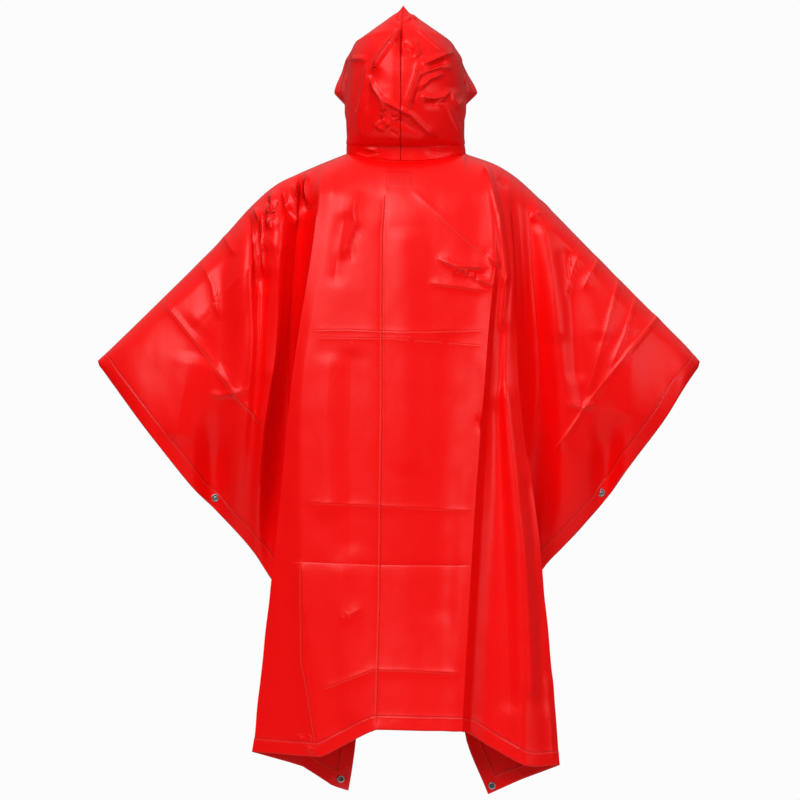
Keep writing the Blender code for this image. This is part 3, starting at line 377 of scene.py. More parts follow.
# The hood's back and its neck band are marked as seen from behind, across and height, and its sides as seen
# from the side, forward and height.
HOOD_CREASES = [
    Crease("pinch end", 0, 3.0, 4, 0.8, 0.4, ((15, 256), (22, 247), (13, 243), (3, 239))),
    Crease("pinch left lip", 1, -3.0, 4, 0.6, 0.5, ((4, 266), (-4, 255), (-8, 245), (1, 234))),
    Crease("pinch right lip", 2, -3.0, 4, 0.6, 0.5, ((8, 266), (18, 255), (19, 243), (1, 234))),
    Crease("seam hollow", 0, -5.0, 6, 0.7, 0.6, ((1, 236), (0, 204), (0, 172))),
    Crease("seam tuck", 1, -4.5, 6, 0.7, 0.4, ((2, 204), (12, 190), (23, 177))),
    Crease("left strip", 1, 4.0, 5, 0.8, 0.4, ((-3, 228), (-11, 209), (-17, 194))),
    Crease("left facet edge", 2, 5.5, 13, 1, 0.5, ((-6, 218), (-36, 176), (-55, 144))),
    Crease("long sweep", 0, 4.6, 11, 1, 0.9,
           ((-56, 148), (-48, 123), (-34, 102), (-3, 84), (18, 74), (43, 49), (66, 30))),
    Crease("sweep foot", 2, -3.4, 11, 0.5, 0, ((-36, 84), (-6, 66), (20, 50), (40, 30))),
    Crease("left shelf", 0, 3.4, 8, 0.9, 0.6, ((-90, 172), (-74, 173), (-56, 171))),
    Crease("left fall", 1, 3.4, 9, 1, 0.6, ((-56, 172), (-64, 128), (-71, 88), (-75, 79), (-73, 32))),
    Crease("left hollow", 2, -3.6, 10, 0.4, 0, ((-44, 168), (-56, 120), (-58, 70))),
    Crease("fork stem", 2, 4.0, 6, 0.9, 0.5, ((-34, 104), (-31, 81), (-33, 66))),
    Crease("fork left", 1, 3.6, 5, 0.9, 0.5, ((-33, 67), (-42, 56), (-26, 45))),
    Crease("fork right", 0, 3.2, 5, 0.9, 0.5, ((-33, 70), (-21, 52))),
    Crease("upper pucker", 1, 2.2, 4, 0.7, 0.4, ((-18, 74), (-2, 76))),
    Crease("middle pucker", 2, 2.0, 4, 0.7, 0.3, ((-14, 65), (-2, 67))),
    Crease("lower pucker", 1, -2.4, 4, 0.7, 0.4, ((-20, 47), (-2, 37))),
    Crease("right upper edge", 2, 3.6, 7, 0.9, 0.4, ((21, 212), (27, 190), (31, 170))),
    Crease("right diagonal", 1, 5.0, 9, 1, 0.8, ((30, 174), (30, 148), (19, 113), (10, 80))),
    Crease("right roof", 0, 2.4, 9, 1, 0.6, ((16, 234), (36, 218), (68, 190), (82, 182))),
    Crease("first crumple", 0, 4.4, 7, 0.9, 0.5, ((32, 174), (40, 163), (57, 170), (78, 180), (98, 185))),
    Crease("first crumple hollow", 2, -4.0, 7, 0.5, 0.2, ((46, 156), (62, 163), (84, 170))),
    Crease("second crumple", 2, 4.0, 7, 0.9, 0.5, ((30, 140), (43, 149), (68, 158), (94, 155))),
    Crease("branch", 0, 3.6, 7, 0.9, 0.4, ((28, 115), (50, 137), (80, 148))),
    Crease("third crumple", 2, 4.4, 7, 0.9, 0.6, ((30, 114), (36, 106), (57, 103), (75, 106), (90, 121))),
    Crease("third crumple hollow", 0, -4.2, 7, 0.5, 0.2, ((38, 96), (60, 94), (80, 98))),
    Crease("side crumple", 1, 3.6, 7, 0.9, 0.5, ((88, 124), (91, 102), (98, 92), (112, 102))),
    Crease("spur", 1, 3.0, 6, 0.9, 0.4, ((76, 105), (63, 91))),
    Crease("right fall", 0, 3.4, 10, 1, 0.6, ((75, 103), (92, 67), (108, 30))),
]
BAND_CREASES = [
    Crease("left band tuck", 0, -2.4, 7, 0.7, 0.4, ((-84, 12), (-56, 5), (-30, 9))),
    Crease("left band ridge", 1, 2.4, 6, 0.8, 0.4, ((-66, 18), (-47, 12), (-44, 0))),
    Crease("right band tuck", 2, -1.6, 8, 0.4, 0.2, ((40, 11), (66, 5), (98, 11))),
]
HOOD_SIDE_CREASES = [
    Crease("cheek roll", 0, 3.2, 12, 0.5, 0.3, ((-4, 60), (24, 110), (46, 132))),
    Crease("cheek hollow", 1, -3.4, 12, 0.3, 0, ((22, 58), (44, 96), (64, 112))),
    Crease("temple bend", 2, 3.0, 12, 0.9, 0.5, ((0, 168), (36, 176), (78, 170))),
    Crease("crown bend", 0, 2.6, 10, 0.9, 0.4, ((6, 212), (30, 196), (60, 206))),
    Crease("ear crumple", 2, 3.4, 8, 0.8, 0.4, ((-6, 128), (14, 142), (34, 136))),
]

# ------------------------------------------------ curves


def curve_through(knots, values, crisp, places):
    """A smooth curve through rows of values, with a corner at each knot as far as its crisp number asks."""
    knots = np.asarray(knots, float)
    values = np.asarray(values, float)
    column = (-1,) + (1,) * (values.ndim - 1)
    spans = np.diff(knots).reshape(column)
    chords = np.diff(values, axis=0) / spans
    smooth = np.zeros_like(values)
    smooth[1:-1] = (chords[:-1] * spans[1:] + chords[1:] * spans[:-1]) / (spans[1:] + spans[:-1])
    smooth[0], smooth[-1] = chords[0], chords[-1]
    corner = np.asarray(crisp, float).reshape(column)
    leaving = smooth[:-1] * (1 - corner[:-1]) + chords * corner[:-1]
    arriving = smooth[1:] * (1 - corner[1:]) + chords * corner[1:]
    places = np.asarray(places, float)
    index = np.clip(np.searchsorted(knots, places, side="right") - 1, 0, len(knots) - 2)
    span = spans[index]
    part = (places - knots[index]).reshape(column) / span
    start = 2 * part**3 - 3 * part**2 + 1
    return (
        values[index] * start
        + values[index + 1] * (1 - start)
        + leaving[index] * span * (part**3 - 2 * part**2 + part)
        + arriving[index] * span * (part**3 - part**2)
    )


def unit(vectors):
    return vectors / np.maximum(np.linalg.norm(vectors, axis=-1, keepdims=True), TINY)


def soft_step(value, low, high):
    part = np.clip((value - low) / (high - low), 0, 1)
    return part * part * (3 - 2 * part)


def between(first, second, part):
    return first + (second - first) * part


def neck_points(angles, side):
    """Places on the neck seam at angles from the centre, on the back (side -1) or the front (side 1)."""
    turn = np.radians(angles)
    depth, drop = (NECK_BACK_DEPTH, NECK_BACK_DROP) if side < 0 else (NECK_FRONT_DEPTH, NECK_FRONT_DROP)
    across = NECK_MIDDLE_X + NECK_HALF_WIDTH * np.sin(turn)
    height = NECK_SIDE_HEIGHT - drop * np.cos(turn) ** 2
    return np.stack([across, side * depth * np.cos(turn), height], axis=-1) * MM


def arm_heights(across):
    """The arm line's heights, from either arm's table."""
    heights = np.zeros(len(across))
    for line, mine in ((LEFT_ARM_LINE, across < 0), (RIGHT_ARM_LINE, across >= 0)):
        knots = [point.across for point in line]
        found = curve_through(knots, [point.height for point in line], [0] * len(line), across[mine] / MM)
        heights[mine] = found * MM
    return heights


NEAR_COLUMNS = 12


def distance_to_line(points, line):
    """How far each point of a grid is from a line with one place for each of the grid's columns."""
    columns = np.arange(len(line))
    nearest = np.full(points.shape[:2], np.inf)
    for shift in range(-NEAR_COLUMNS, NEAR_COLUMNS):
        start = line[np.clip(columns + shift, 0, len(line) - 1)][:, None]
        step = line[np.clip(columns + shift + 1, 0, len(line) - 1)][:, None] - start
        length = np.maximum((step**2).sum(axis=-1), TINY)
        part = np.clip(((points - start) * step).sum(axis=-1) / length, 0, 1)
        away = np.linalg.norm(points - start - step * part[..., None], axis=-1)
        nearest = np.minimum(nearest, away)
    return nearest


# ------------------------------------------------ creases

CREASE_LAYERS = (0, 1, 2)
LINE_CORE = 5 * MM
LINE_REACH = 9.5 * MM
BEND_SHARE = 0.75
STEEP_SIDE = 0.45
GENTLE_SIDE = 1.5
ROOF_ROUNDING = 0.1
END_FADE_SHARE = 0.3
LONGEST_END_FADE = 25 * MM


def path_place(across, height, path):
    """Signed distance to a path, how far along it the nearest place is, and its length, all in metres."""
    nearest = np.full(across.shape, np.inf)
    signed = np.zeros(across.shape)
    reached = np.zeros(across.shape)
    points = np.array(path, float) * MM
    before = 0.0
    for start, end in zip(points, points[1:]):
        step = end - start
        length = np.linalg.norm(step)
        along = ((across - start[0]) * step[0] + (height - start[1]) * step[1]) / length
        side = ((across - start[0]) * step[1] - (height - start[1]) * step[0]) / length
        over = np.maximum(np.maximum(-along, along - length), 0)
        away = np.hypot(side, over)
        closer = away < nearest
        nearest = np.where(closer, away, nearest)
        signed = np.where(closer, np.where(side < 0, -away, away), signed)
        reached = np.where(closer, before + np.clip(along, 0, length), reached)
        before += length
    return signed, reached, before


def crease_rise(distance, crease):
    """How far the cloth stands out beside a crease: a roof with one steep side, or a soft roll."""
    width = crease.width * MM
    widths_away = np.maximum(distance / (STEEP_SIDE * width), -distance / (GENTLE_SIDE * width))
    roof = np.exp(ROOF_ROUNDING - np.sqrt(widths_away**2 + ROOF_ROUNDING**2))
    roll = np.exp(-((distance / width) ** 2))
    return crease.rise * MM * between(roll, roof, crease.crisp)


class CreaseMap:
    """The rise of all creases at each point, and each layer's nearest crease: distance, line and bend."""

    def __init__(self, across, height):
        self.across, self.height = across, height
        self.rise = np.zeros(across.shape)
        self.nearest = {layer: np.full(across.shape, np.inf) for layer in CREASE_LAYERS}
        self.attributes = {}
        for layer in CREASE_LAYERS:
            self.attributes[f"distance_{layer}"] = np.full(across.shape, 1.0)
            self.attributes[f"line_{layer}"] = np.zeros(across.shape)
            self.attributes[f"bend_{layer}"] = np.zeros(across.shape)

    def add_all(self, creases, mask):
        for crease in creases:
            self.add(crease, mask)

    def add(self, crease, mask):
        signed, reached, length = path_place(self.across, self.height, crease.path)
        end_fade = min(END_FADE_SHARE * length, LONGEST_END_FADE)
        strength = mask * soft_step(np.minimum(reached, length - reached), 0, end_fade)
        self.rise += crease_rise(signed, crease) * strength
        away = np.abs(signed)
        closer = (away < self.nearest[crease.layer]) & (strength > 0)
        strength = strength * (1 - soft_step(away, LINE_CORE, LINE_REACH))
        self.nearest[crease.layer] = np.where(closer, away, self.nearest[crease.layer])
        found = {
            "distance": signed,
            "line": strength * crease.line,
            "bend": strength * crease.rise * crease.crisp * BEND_SHARE * MM,
        }
        for kind, values in found.items():
            key = f"{kind}_{crease.layer}"
            self.attributes[key] = np.where(closer, values, self.attributes[key])


# A wing's waves slant as its cloth falls away from the shoulder, and the body's run straight down. The scales
# are across, outward and down.
WING_SLANT = 0.8
WING_START = 180 * MM
WING_FULL = 300 * MM
LONG_WAVE = 1.5 * MM
LONG_WAVE_SCALE = (11, 11, 2.6)
CRUMPLE = 0.5 * MM
CRUMPLE_SCALE = (36, 36, 24)


def scaled_noise(place, scale, seed):
    x, y, z = (part * share for part, share in zip(place, scale))
    return noise.noise(Vector((x + seed, y, z)))


def cloth_waves(points, seed):
    """Uneven soft waves that run down the cloth, and a little finer crumple."""
    across = points[..., 0]
    slant = WING_SLANT * np.sign(across) * soft_step(np.abs(across), WING_START, WING_FULL)
    level = across + slant * points[..., 2]
    wave = np.zeros(across.shape)
    for place in np.ndindex(*wave.shape):
        x, y, z = points[place]
        long_wave = scaled_noise((level[place], y, z), LONG_WAVE_SCALE, seed)
        crumple = scaled_noise((x, y, z), CRUMPLE_SCALE, seed)
        wave[place] = long_wave * LONG_WAVE + crumple * CRUMPLE
    return wave


# ------------------------------------------------ the panels

# How wide each panel's columns are at most, and how many rows lie above its hem.
Weave = namedtuple("Weave", "column rows")
BACK_WEAVE = Weave(5.4 * MM, 132)
FRONT_WEAVE = Weave(7.6 * MM, 104)
TOP_ROWS_POWER = 1.35
DENSE_ROWS = 700
HEM_ROWS = [0.0, 0.10, 0.24, 0.45, 0.68, 0.88, 1.0]
PART_FADE = 14 * MM
FEWEST_STEPS = 3


class Panel:
    """One panel's surface: the middle of its cloth, worked out from its folds."""

    def __init__(self, folds, side):
        self.folds = folds
        self.side = side
        lines = np.array([
            [fold.across, [side * depth for depth in fold.depth], fold.height]
            for fold in folds
        ], float)
        self.lines = lines.transpose(0, 2, 1) * MM
        steps = np.linalg.norm(np.diff(self.lines, axis=1), axis=2)
        self.lengths = steps.sum(axis=1)
        self.line_knots = np.concatenate([np.zeros((len(folds), 1)), np.cumsum(steps, axis=1)], axis=1)
        self.line_knots /= self.lengths[:, None]
        gaps = np.linalg.norm(self.lines[1:] - self.lines[:-1], axis=2).mean(axis=1)
        self.knots = np.concatenate([[0.0], np.cumsum(gaps)])
        self.crisp = [fold.crisp for fold in folds]
        self.hem_starts = np.array([self.hem_start(index) for index in range(len(folds))])

    def hem_start(self, index):
        """How far down its fold the hem begins, so that the hem is as wide everywhere."""
        edge = self.lines[min(index + 1, len(self.folds) - 1), -1] - self.lines[max(index - 1, 0), -1]
        fall = self.lines[index, -1] - self.lines[index, -2]
        slant = max(np.linalg.norm(np.cross(unit(edge), unit(fall))), LEAST_HEM_SLANT)
        return max(1 - HEM_WIDTH / slant / self.lengths[index], HIGHEST_HEM)

    def places(self, column):
        """Places across the panel: every fold, and even steps between two folds."""
        found = []
        for first, second in zip(self.knots, self.knots[1:]):
            steps = max(FEWEST_STEPS, round((second - first) / column))
            found += [between(first, second, step / steps) for step in range(steps)]
        return np.array(found + [self.knots[-1]])

    def neck_angles(self, places):
        """The angle round the neck at each place, and whether the cloth hangs from the neck there."""
        marked = [index for index, fold in enumerate(self.folds) if fold.neck is not None]
        knots = self.knots[marked]
        angles = np.interp(places, knots, [self.folds[index].neck for index in marked])
        return angles, (places > knots[0] - TINY) & (places < knots[-1] + TINY)

    def surface(self, places, downs):
        """The cloth's middle at each place across the folds and each part of the way down them."""
        hanging_folds = np.stack([
            curve_through(knots, line, np.zeros(len(knots)), downs)
            for knots, line in zip(self.line_knots, self.lines)
        ])
        hanging = curve_through(self.knots, hanging_folds, self.crisp, places)
        start = hanging[:, :1]
        angles, on_neck = self.neck_angles(places)
        across = start[:, 0, 0]
        arms = np.stack([across, np.zeros(len(across)), arm_heights(across)], axis=-1)
        top = np.where(on_neck[:, None], neck_points(angles, self.side), arms)[:, None]
        rounding = np.interp(places, self.knots, [fold.rounding for fold in self.folds])[:, None] * MM
        fall = np.clip((start[..., 2] - hanging[..., 2]) / rounding, 0, 1)
        turn = np.sqrt(1 - (1 - fall) ** 2)
        settle = ((1 - downs) ** SEAM_SETTLE_POWER)[None]
        return self.bent(np.stack([
            hanging[..., 0] + (top[..., 0] - start[..., 0]) * settle,
            between(top[..., 1], hanging[..., 1], turn),
            hanging[..., 2] + (top[..., 2] - start[..., 2]) * settle,
        ], axis=-1))

    def bent(self, points):
        """The back's left lower corner, turned under."""
        if self.side > 0:
            return points
        bend = BACK_CORNER_BEND
        away = np.hypot(points[..., 0] - bend.across * MM, points[..., 2] - bend.height * MM)
        turned = np.maximum(bend.reach * MM - away, 0)
        lift = np.stack([np.zeros(turned.shape), turned * bend.forward, turned * bend.lift], axis=-1)
        return points + lift

    def grid(self, places, rows):
        """Points at each place, in rows gathered at the top and at the hem, and how far down each row is."""
        dense_downs = np.linspace(0, 1, DENSE_ROWS) ** TOP_ROWS_POWER
        dense = self.surface(places, dense_downs)
        hems = np.interp(places, self.knots, self.hem_starts)[:, None]
        above = (np.arange(rows) / rows) ** TOP_ROWS_POWER
        downs = np.concatenate([hems * above[None], hems + (1 - hems) * np.array(HEM_ROWS)[None]], axis=1)
        points = np.stack([
            np.stack([np.interp(downs[i], dense_downs, dense[i, :, axis]) for axis in range(3)], axis=-1)
            for i in range(len(places))
        ])
        return points, downs

    def part_mask(self, places, first, last):
        """1 at the places of one part of the panel, and 0 beyond the folds that it runs between."""
        mask = np.ones(len(places))
        if first > 0:
            start = self.knots[first]
            mask = mask * soft_step(places, start - PART_FADE, start + PART_FADE)
        if last < len(self.folds) - 1:
            end = self.knots[last]
            mask = mask * (1 - soft_step(places, end - PART_FADE, end + PART_FADE))
        return mask[:, None]


def grid_normals(points, outward):
    """The way out of the cloth at each point, turned so that the middle of the grid looks outward."""
    across = np.gradient(points, axis=0)
    down = np.gradient(points, axis=1)
    normals = unit(np.cross(across, down))
    middle = normals[normals.shape[0] // 2, normals.shape[1] // 2]
    return normals * (1 if np.dot(middle, outward) > 0 else -1)


def shell(name, points, outward, attributes, cut, material, thickness, wall_shares):
    """A cloth shell: a grid moved onto its points, with attributes, a flat cut and a wall on both sides."""
    columns, rows = points.shape[:2]
    mesh = bmesh.new()
    shares = mesh.verts.layers.deform.verify()
    cut_layer = mesh.loops.layers.uv.new("cut")
    for key in attributes:
        mesh.verts.layers.float.new(key)
    layers = {key: mesh.verts.layers.float[key] for key in attributes}
    sheet = bmesh.ops.create_grid(mesh, x_segments=columns - 1, y_segments=rows - 1, size=0.5)
    places = {
        vert: (round((vert.co.x + 0.5) * (columns - 1)), round((vert.co.y + 0.5) * (rows - 1)))
        for vert in sheet["verts"]
    }
    for vert, place in places.items():
        vert.co = points[place]
        vert[shares][0] = wall_shares[place]
        for key, layer in layers.items():
            vert[layer] = attributes[key][place]
    for face in mesh.faces:
        for loop in face.loops:
            loop[cut_layer].uv = cut[places[loop.vert]]
    mesh.normal_update()
    middle = columns // 2, rows // 2
    middle_vert = next(vert for vert, place in places.items() if place == middle)
    middle_normal = grid_normals(points, outward)[middle]
    if middle_vert.normal.dot(Vector(middle_normal)) < 0:
        bmesh.ops.reverse_faces(mesh, faces=mesh.faces[:])
    item = smooth_piece(name, mesh, material, CLOTH_SMOOTH_ANGLE)
    item.vertex_groups.new(name="wall")
    wall = item.modifiers.new("wall", "SOLIDIFY")
    wall.thickness = thickness
    wall.offset = 0
    wall.vertex_group = "wall"
    return item


def object_of(name, mesh, material):
    """The mesh under construction as an object of the scene."""
    data = bpy.data.meshes.new(name)
    mesh.to_mesh(data)
    mesh.free()
    data.materials.append(material)
    item = bpy.data.objects.new(name, data)
    bpy.context.scene.collection.objects.link(item)
    return item


def smooth_piece(name, mesh, material, smooth_angle):
    """A piece of the garment, smooth but for the edges that bend more than an angle."""
    item = object_of(name, mesh, material)
    item.data.shade_smooth()
    item.data.set_sharp_from_angle(angle=math.radians(smooth_angle))
    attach(item, "root")
    return item


def take_place(item, name):
    """The piece takes the place of the solid of that name, which is hidden."""
    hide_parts(name)
    return item


def hem_walls(edge):
    """The wall's share of the hem's thickness: all of it in the hem, and less above."""
    return between(1.0, CLOTH_WALL_SHARE, soft_step(edge, FULL_HEM_WALL, HEM_WALL_END))


# Nothing stands out at the seam, at the wings' tips and beside a closed snap, where the cloth lies as its
# solid does. Each hold is how far from there the creases and waves are whole.
SEAM_HOLD = 11 * MM
TIP_HOLD = 50 * MM
SNAP_FLAT = 12 * MM
SNAP_HOLD = 40 * MM
SIDE_SNAP_PLACES = [(-326, -598), (353, -589)]


def away_from_snaps(points):
    free = np.ones(points.shape[:-1])
    for across, height in SIDE_SNAP_PLACES:
        away = np.hypot(points[..., 0] - across * MM, points[..., 2] - height * MM)
        free = free * soft_step(away, SNAP_FLAT, SNAP_HOLD)
    return free


def make_panel(name, folds, side, parts, tables, weave, material, seed):
    panel = Panel(folds, side)
    places = panel.places(weave.column)
    points, downs = panel.grid(places, weave.rows)
    outward = np.array([0, side, 0])
    creases = CreaseMap(points[..., 0], points[..., 2])
    for part, rows in tables.items():
        creases.add_all(rows, panel.part_mask(places, *parts[part]))
    seam_free = soft_step(distance_to_line(points, points[:, 0]), 0, SEAM_HOLD)
    tip_free = soft_step(places, 0, TIP_HOLD) * soft_step(places[-1] - places, 0, TIP_HOLD)
    free = seam_free * tip_free[:, None] * away_from_snaps(points)
    rise = (creases.rise + cloth_waves(points, seed)) * free
    points = points + grid_normals(points, outward) * rise[..., None]
    edge = distance_to_line(points, points[:, -1])
    seam = distance_to_line(points, points[:, 0])
    attributes = {**creases.attributes, "edge": edge, "seam": seam}
    fall = panel.lengths.mean()
    flat = np.stack([np.broadcast_to(places[:, None], downs.shape), -downs * fall], axis=-1)
    item = shell(name, points, outward, attributes, flat, material, HEM_WALL, hem_walls(edge))
    return take_place(item, name)


# ------------------------------------------------ the hood

HOOD_BACK_COLUMNS = 76
HOOD_FACE_COLUMNS = 44
HOOD_HEM_COLUMNS = 9
HOOD_BAND_ROWS = 18
HOOD_FOLD_ROWS = 8
HOOD_ROWS = 150
HOOD_HEM_ANGLE = 162
HOOD_LENGTH = 420 * MM

# The creases that are seen from behind fade out before the side line, and those seen from the side fade in
# after it. The fades are angles, and the other three are levels.
HOOD_SIDE_LINE = 90
BACK_CREASE_FADE = 14
SIDE_CREASE_FADE = 16
CREASES_FROM = 1.05 * BLOUSE_FOLD
CREASES_WHOLE = 1.5 * BLOUSE_FOLD
BAND_CREASES_TO = 0.7 * BAND_TOP

# How far from the neck seam and the crown seam, in levels, and from the centre seam, in degrees, the cloth
# is free to move.
NECK_HELD = 0.004
NECK_FREE = 0.05
CROWN_FREE = 0.035
CROWN_WAVES = 0.2
SEAM_WAVES = 7


def hood_sections(levels):
    """The hood's sizes at each level between the neck seam (0) and the crown seam (1)."""
    knots = [section.level for section in HOOD_SECTIONS]
    crisp = [CRISP_HOOD_SECTIONS.get(section.name, 0.0) for section in HOOD_SECTIONS]
    values = np.array([section[2:] for section in HOOD_SECTIONS], float)
    return curve_through(knots, values, crisp, levels)


def hood_curves(levels, angles, hand):
    """Points of one hood half. An angle runs from the back seam through 90 at the side to the face edge."""
    sizes = hood_sections(levels).T[:, None, :]
    back_z, side_z, face_z, back_y, left, right, face_left, face_right, face_y = sizes
    side, face = (left, face_left) if hand < 0 else (right, face_right)
    shift = APEX_SHIFT * levels[None] ** APEX_SHIFT_POWER
    seam_turn = hand * SEAM_ANGLE
    turn = np.radians(90 * np.clip((angles - seam_turn) / (90 - seam_turn), 0, 1))[:, None]
    back = np.cos(turn)
    behind = np.stack([
        side * np.sin(turn) ** HOOD_SIDE_FULLNESS + shift,
        between(-HOOD_SIDE_DEPTH, -back_y, back),
        between(side_z, back_z, np.maximum(back, 0) ** HOOD_BACK_DIP),
    ], axis=-1)
    part = np.clip((angles - 90) / (FRONT_EDGE_ANGLE - 90), 0, 1)[:, None]
    before = np.stack([
        between(side, face, part**2) + shift,
        between(-HOOD_SIDE_DEPTH, face_y, part),
        between(side_z, face_z, part**2),
    ], axis=-1)
    return np.where((angles <= 90)[:, None, None], behind, before) * MM


def hood_surface(levels, angles, hand):
    """The hood follows its sections, and below the first of them it runs straight down to the neck seam."""
    upper = hood_curves(np.maximum(levels, BAND_TOP), angles, hand)
    back = neck_points(hand * angles, -1)
    front = neck_points(hand * (180 - angles), 1)
    start = np.where((angles <= 90)[:, None], back, front)[:, None]
    share = np.clip(levels / BAND_TOP, 0, 1)[None, :, None]
    return between(start, upper, share)


def hood_creases(points, levels, angles):
    """The rise of the creases, and their attributes."""
    behind = 1 - soft_step(angles, HOOD_SIDE_LINE - BACK_CREASE_FADE, HOOD_SIDE_LINE)[:, None]
    beside = soft_step(angles, HOOD_SIDE_LINE, HOOD_SIDE_LINE + SIDE_CREASE_FADE)[:, None]
    above = soft_step(levels, CREASES_FROM, CREASES_WHOLE)[None]
    band = 1 - soft_step(levels, BAND_CREASES_TO, BAND_TOP)[None]
    back_map = CreaseMap(points[..., 0], points[..., 2])
    back_map.add_all(HOOD_CREASES, behind * above)
    back_map.add_all(BAND_CREASES, behind * band)
    side_map = CreaseMap(points[..., 1], points[..., 2])
    side_map.add_all(HOOD_SIDE_CREASES, beside * above)
    on_side = (angles > HOOD_SIDE_LINE)[:, None]
    attributes = {
        key: np.where(on_side, side_map.attributes[key], values)
        for key, values in back_map.attributes.items()
    }
    return back_map.rise + side_map.rise, attributes


def hood_angles(back_seam):
    """The columns' angles: even over the back and over the side, and closer in the hem of the face edge."""
    side_columns = HOOD_FACE_COLUMNS - HOOD_HEM_COLUMNS
    return np.concatenate([
        between(back_seam, HOOD_SIDE_LINE, np.linspace(0, 1, HOOD_BACK_COLUMNS, endpoint=False)),
        between(HOOD_SIDE_LINE, HOOD_HEM_ANGLE, np.linspace(0, 1, side_columns, endpoint=False)),
        between(HOOD_HEM_ANGLE, FRONT_EDGE_ANGLE, np.linspace(0, 1, HOOD_HEM_COLUMNS)),
    ])


def hood_levels():
    """The rows' levels: closer in the neck band and in the fold above it."""
    return np.concatenate([
        np.linspace(0, BAND_TOP, HOOD_BAND_ROWS, endpoint=False),
        np.linspace(BAND_TOP, BLOUSE_FOLD, HOOD_FOLD_ROWS, endpoint=False),
        np.linspace(BLOUSE_FOLD, 1.0, HOOD_ROWS - HOOD_BAND_ROWS - HOOD_FOLD_ROWS),
    ])


def hood_edges(points):
    """How far each point is from the hood's free edge, and from the nearest of its seams."""
    turned_grid = points.transpose(1, 0, 2)
    neck_seam = distance_to_line(points, points[:, 0])
    crown_seam = distance_to_line(points, points[:, -1])
    centre_seam = distance_to_line(turned_grid, points[0]).T
    edge = distance_to_line(turned_grid, points[-1]).T
    return edge, np.minimum(np.minimum(neck_seam, crown_seam), centre_seam)


def make_hood_half(name, hand, material, seed):
    back_seam = hand * SEAM_ANGLE
    angles = hood_angles(back_seam)
    levels = hood_levels()
    points = hood_surface(levels, angles, hand)
    outward = np.array([hand, 0, 0])
    normals = grid_normals(points, outward)
    normals[0] = unit(normals[0] * np.array([0, 1, 1]))
    rise, attributes = hood_creases(points, levels, angles)
    free = soft_step(levels, NECK_HELD, NECK_FREE)[None] * soft_step(1 - levels, 0, CROWN_FREE)[None]
    from_seam = soft_step(np.abs(angles - back_seam), 0, SEAM_WAVES)[:, None]
    waves = cloth_waves(points, seed) * soft_step(1 - levels, 0, CROWN_WAVES)[None] * from_seam
    points = points + normals * ((rise + waves) * free)[..., None]
    shift = APEX_SHIFT * MM * levels**APEX_SHIFT_POWER
    points[0, :, 0] = shift
    points[1:, -1, 0] = shift[-1]
    edge, seam = hood_edges(points)
    attributes.update({"edge": edge, "seam": seam})
    steps = np.linalg.norm(np.diff(points, axis=0), axis=2).cumsum(axis=0)
    along = np.concatenate([np.zeros((1, len(levels))), steps])
    flat = np.stack([along, np.broadcast_to(levels[None] * HOOD_LENGTH, along.shape)], axis=-1)
    item = shell(name, points, outward, attributes, flat, material, HEM_WALL, hem_walls(edge))
    return take_place(item, name)


# ------------------------------------------------ label and snaps

LABEL_LEFT = -22 * MM
LABEL_RIGHT = 19 * MM
LABEL_TOP = -25 * MM
LABEL_FOOT = -50 * MM
LABEL_WALL = 0.4 * MM
LABEL_AWAY = 0.6 * MM
LABEL_STEPS = 12


BEHIND = Vector((0, -1, 0))


def surface_of(item):
    return BVHTree.FromObject(item, bpy.context.evaluated_depsgraph_get())


def make_label(surface, material):
    """A small patch that follows the back panel's inner face."""
    points = np.zeros((LABEL_STEPS + 1, LABEL_STEPS + 1, 3))
    for i, j in np.ndindex(points.shape[:2]):
        across = between(LABEL_LEFT, LABEL_RIGHT, i / LABEL_STEPS)
        height = between(LABEL_TOP, LABEL_FOOT, j / LABEL_STEPS)
        hit = surface.ray_cast(Vector((across, 0, height)), BEHIND)[0]
        points[i, j] = hit - BEHIND * LABEL_AWAY
    flat = points[..., [0, 2]]
    walls = np.ones(flat.shape[:2])
    item = shell("neck_label", points, np.array([0, 1, 0]), {}, flat, material, LABEL_WALL, walls)
    return take_place(item, "neck_label")


# A pressed snap's rings from its rim to its middle: radius, lift, and how much painted shade darkens each of
# them.
SnapRing = namedtuple("SnapRing", "radius lift grime")
CAP_PROFILE = [
    SnapRing(7.0, 0.0, 1.0),
    SnapRing(7.1, 0.6, 0.5),
    SnapRing(6.9, 1.2, 0.0),
    SnapRing(6.3, 1.6, 0.0),
    SnapRing(5.4, 1.75, 0.1),
    SnapRing(4.7, 1.5, 0.8),
    SnapRing(4.3, 1.0, 1.0),
    SnapRing(3.8, 0.85, 0.9),
    SnapRing(2.8, 1.1, 0.2),
    SnapRing(1.2, 1.4, 0.0),
]
SOCKET_PROFILE = [
    SnapRing(7.0, 0.0, 1.0),
    SnapRing(7.1, 0.7, 0.5),
    SnapRing(6.8, 1.5, 0.0),
    SnapRing(6.1, 2.2, 0.0),
    SnapRing(5.2, 2.6, 0.0),
    SnapRing(4.5, 2.6, 0.1),
    SnapRing(4.0, 2.3, 0.6),
    SnapRing(3.7, 1.6, 1.0),
    SnapRing(3.5, 0.9, 1.0),
    SnapRing(2.0, 0.7, 0.8),
]
SNAP_SEGMENTS = 40
SNAP_SINK = 0.15 * MM
SNAP_SEARCH = 12 * MM
MERGE_DISTANCE = 0.01 * MM
CORE_RADIUS = 5.4 * MM
CORE_BEVEL = 0.6 * MM
CORE_BEVEL_STEPS = 3
CORE_FILL = 0.96


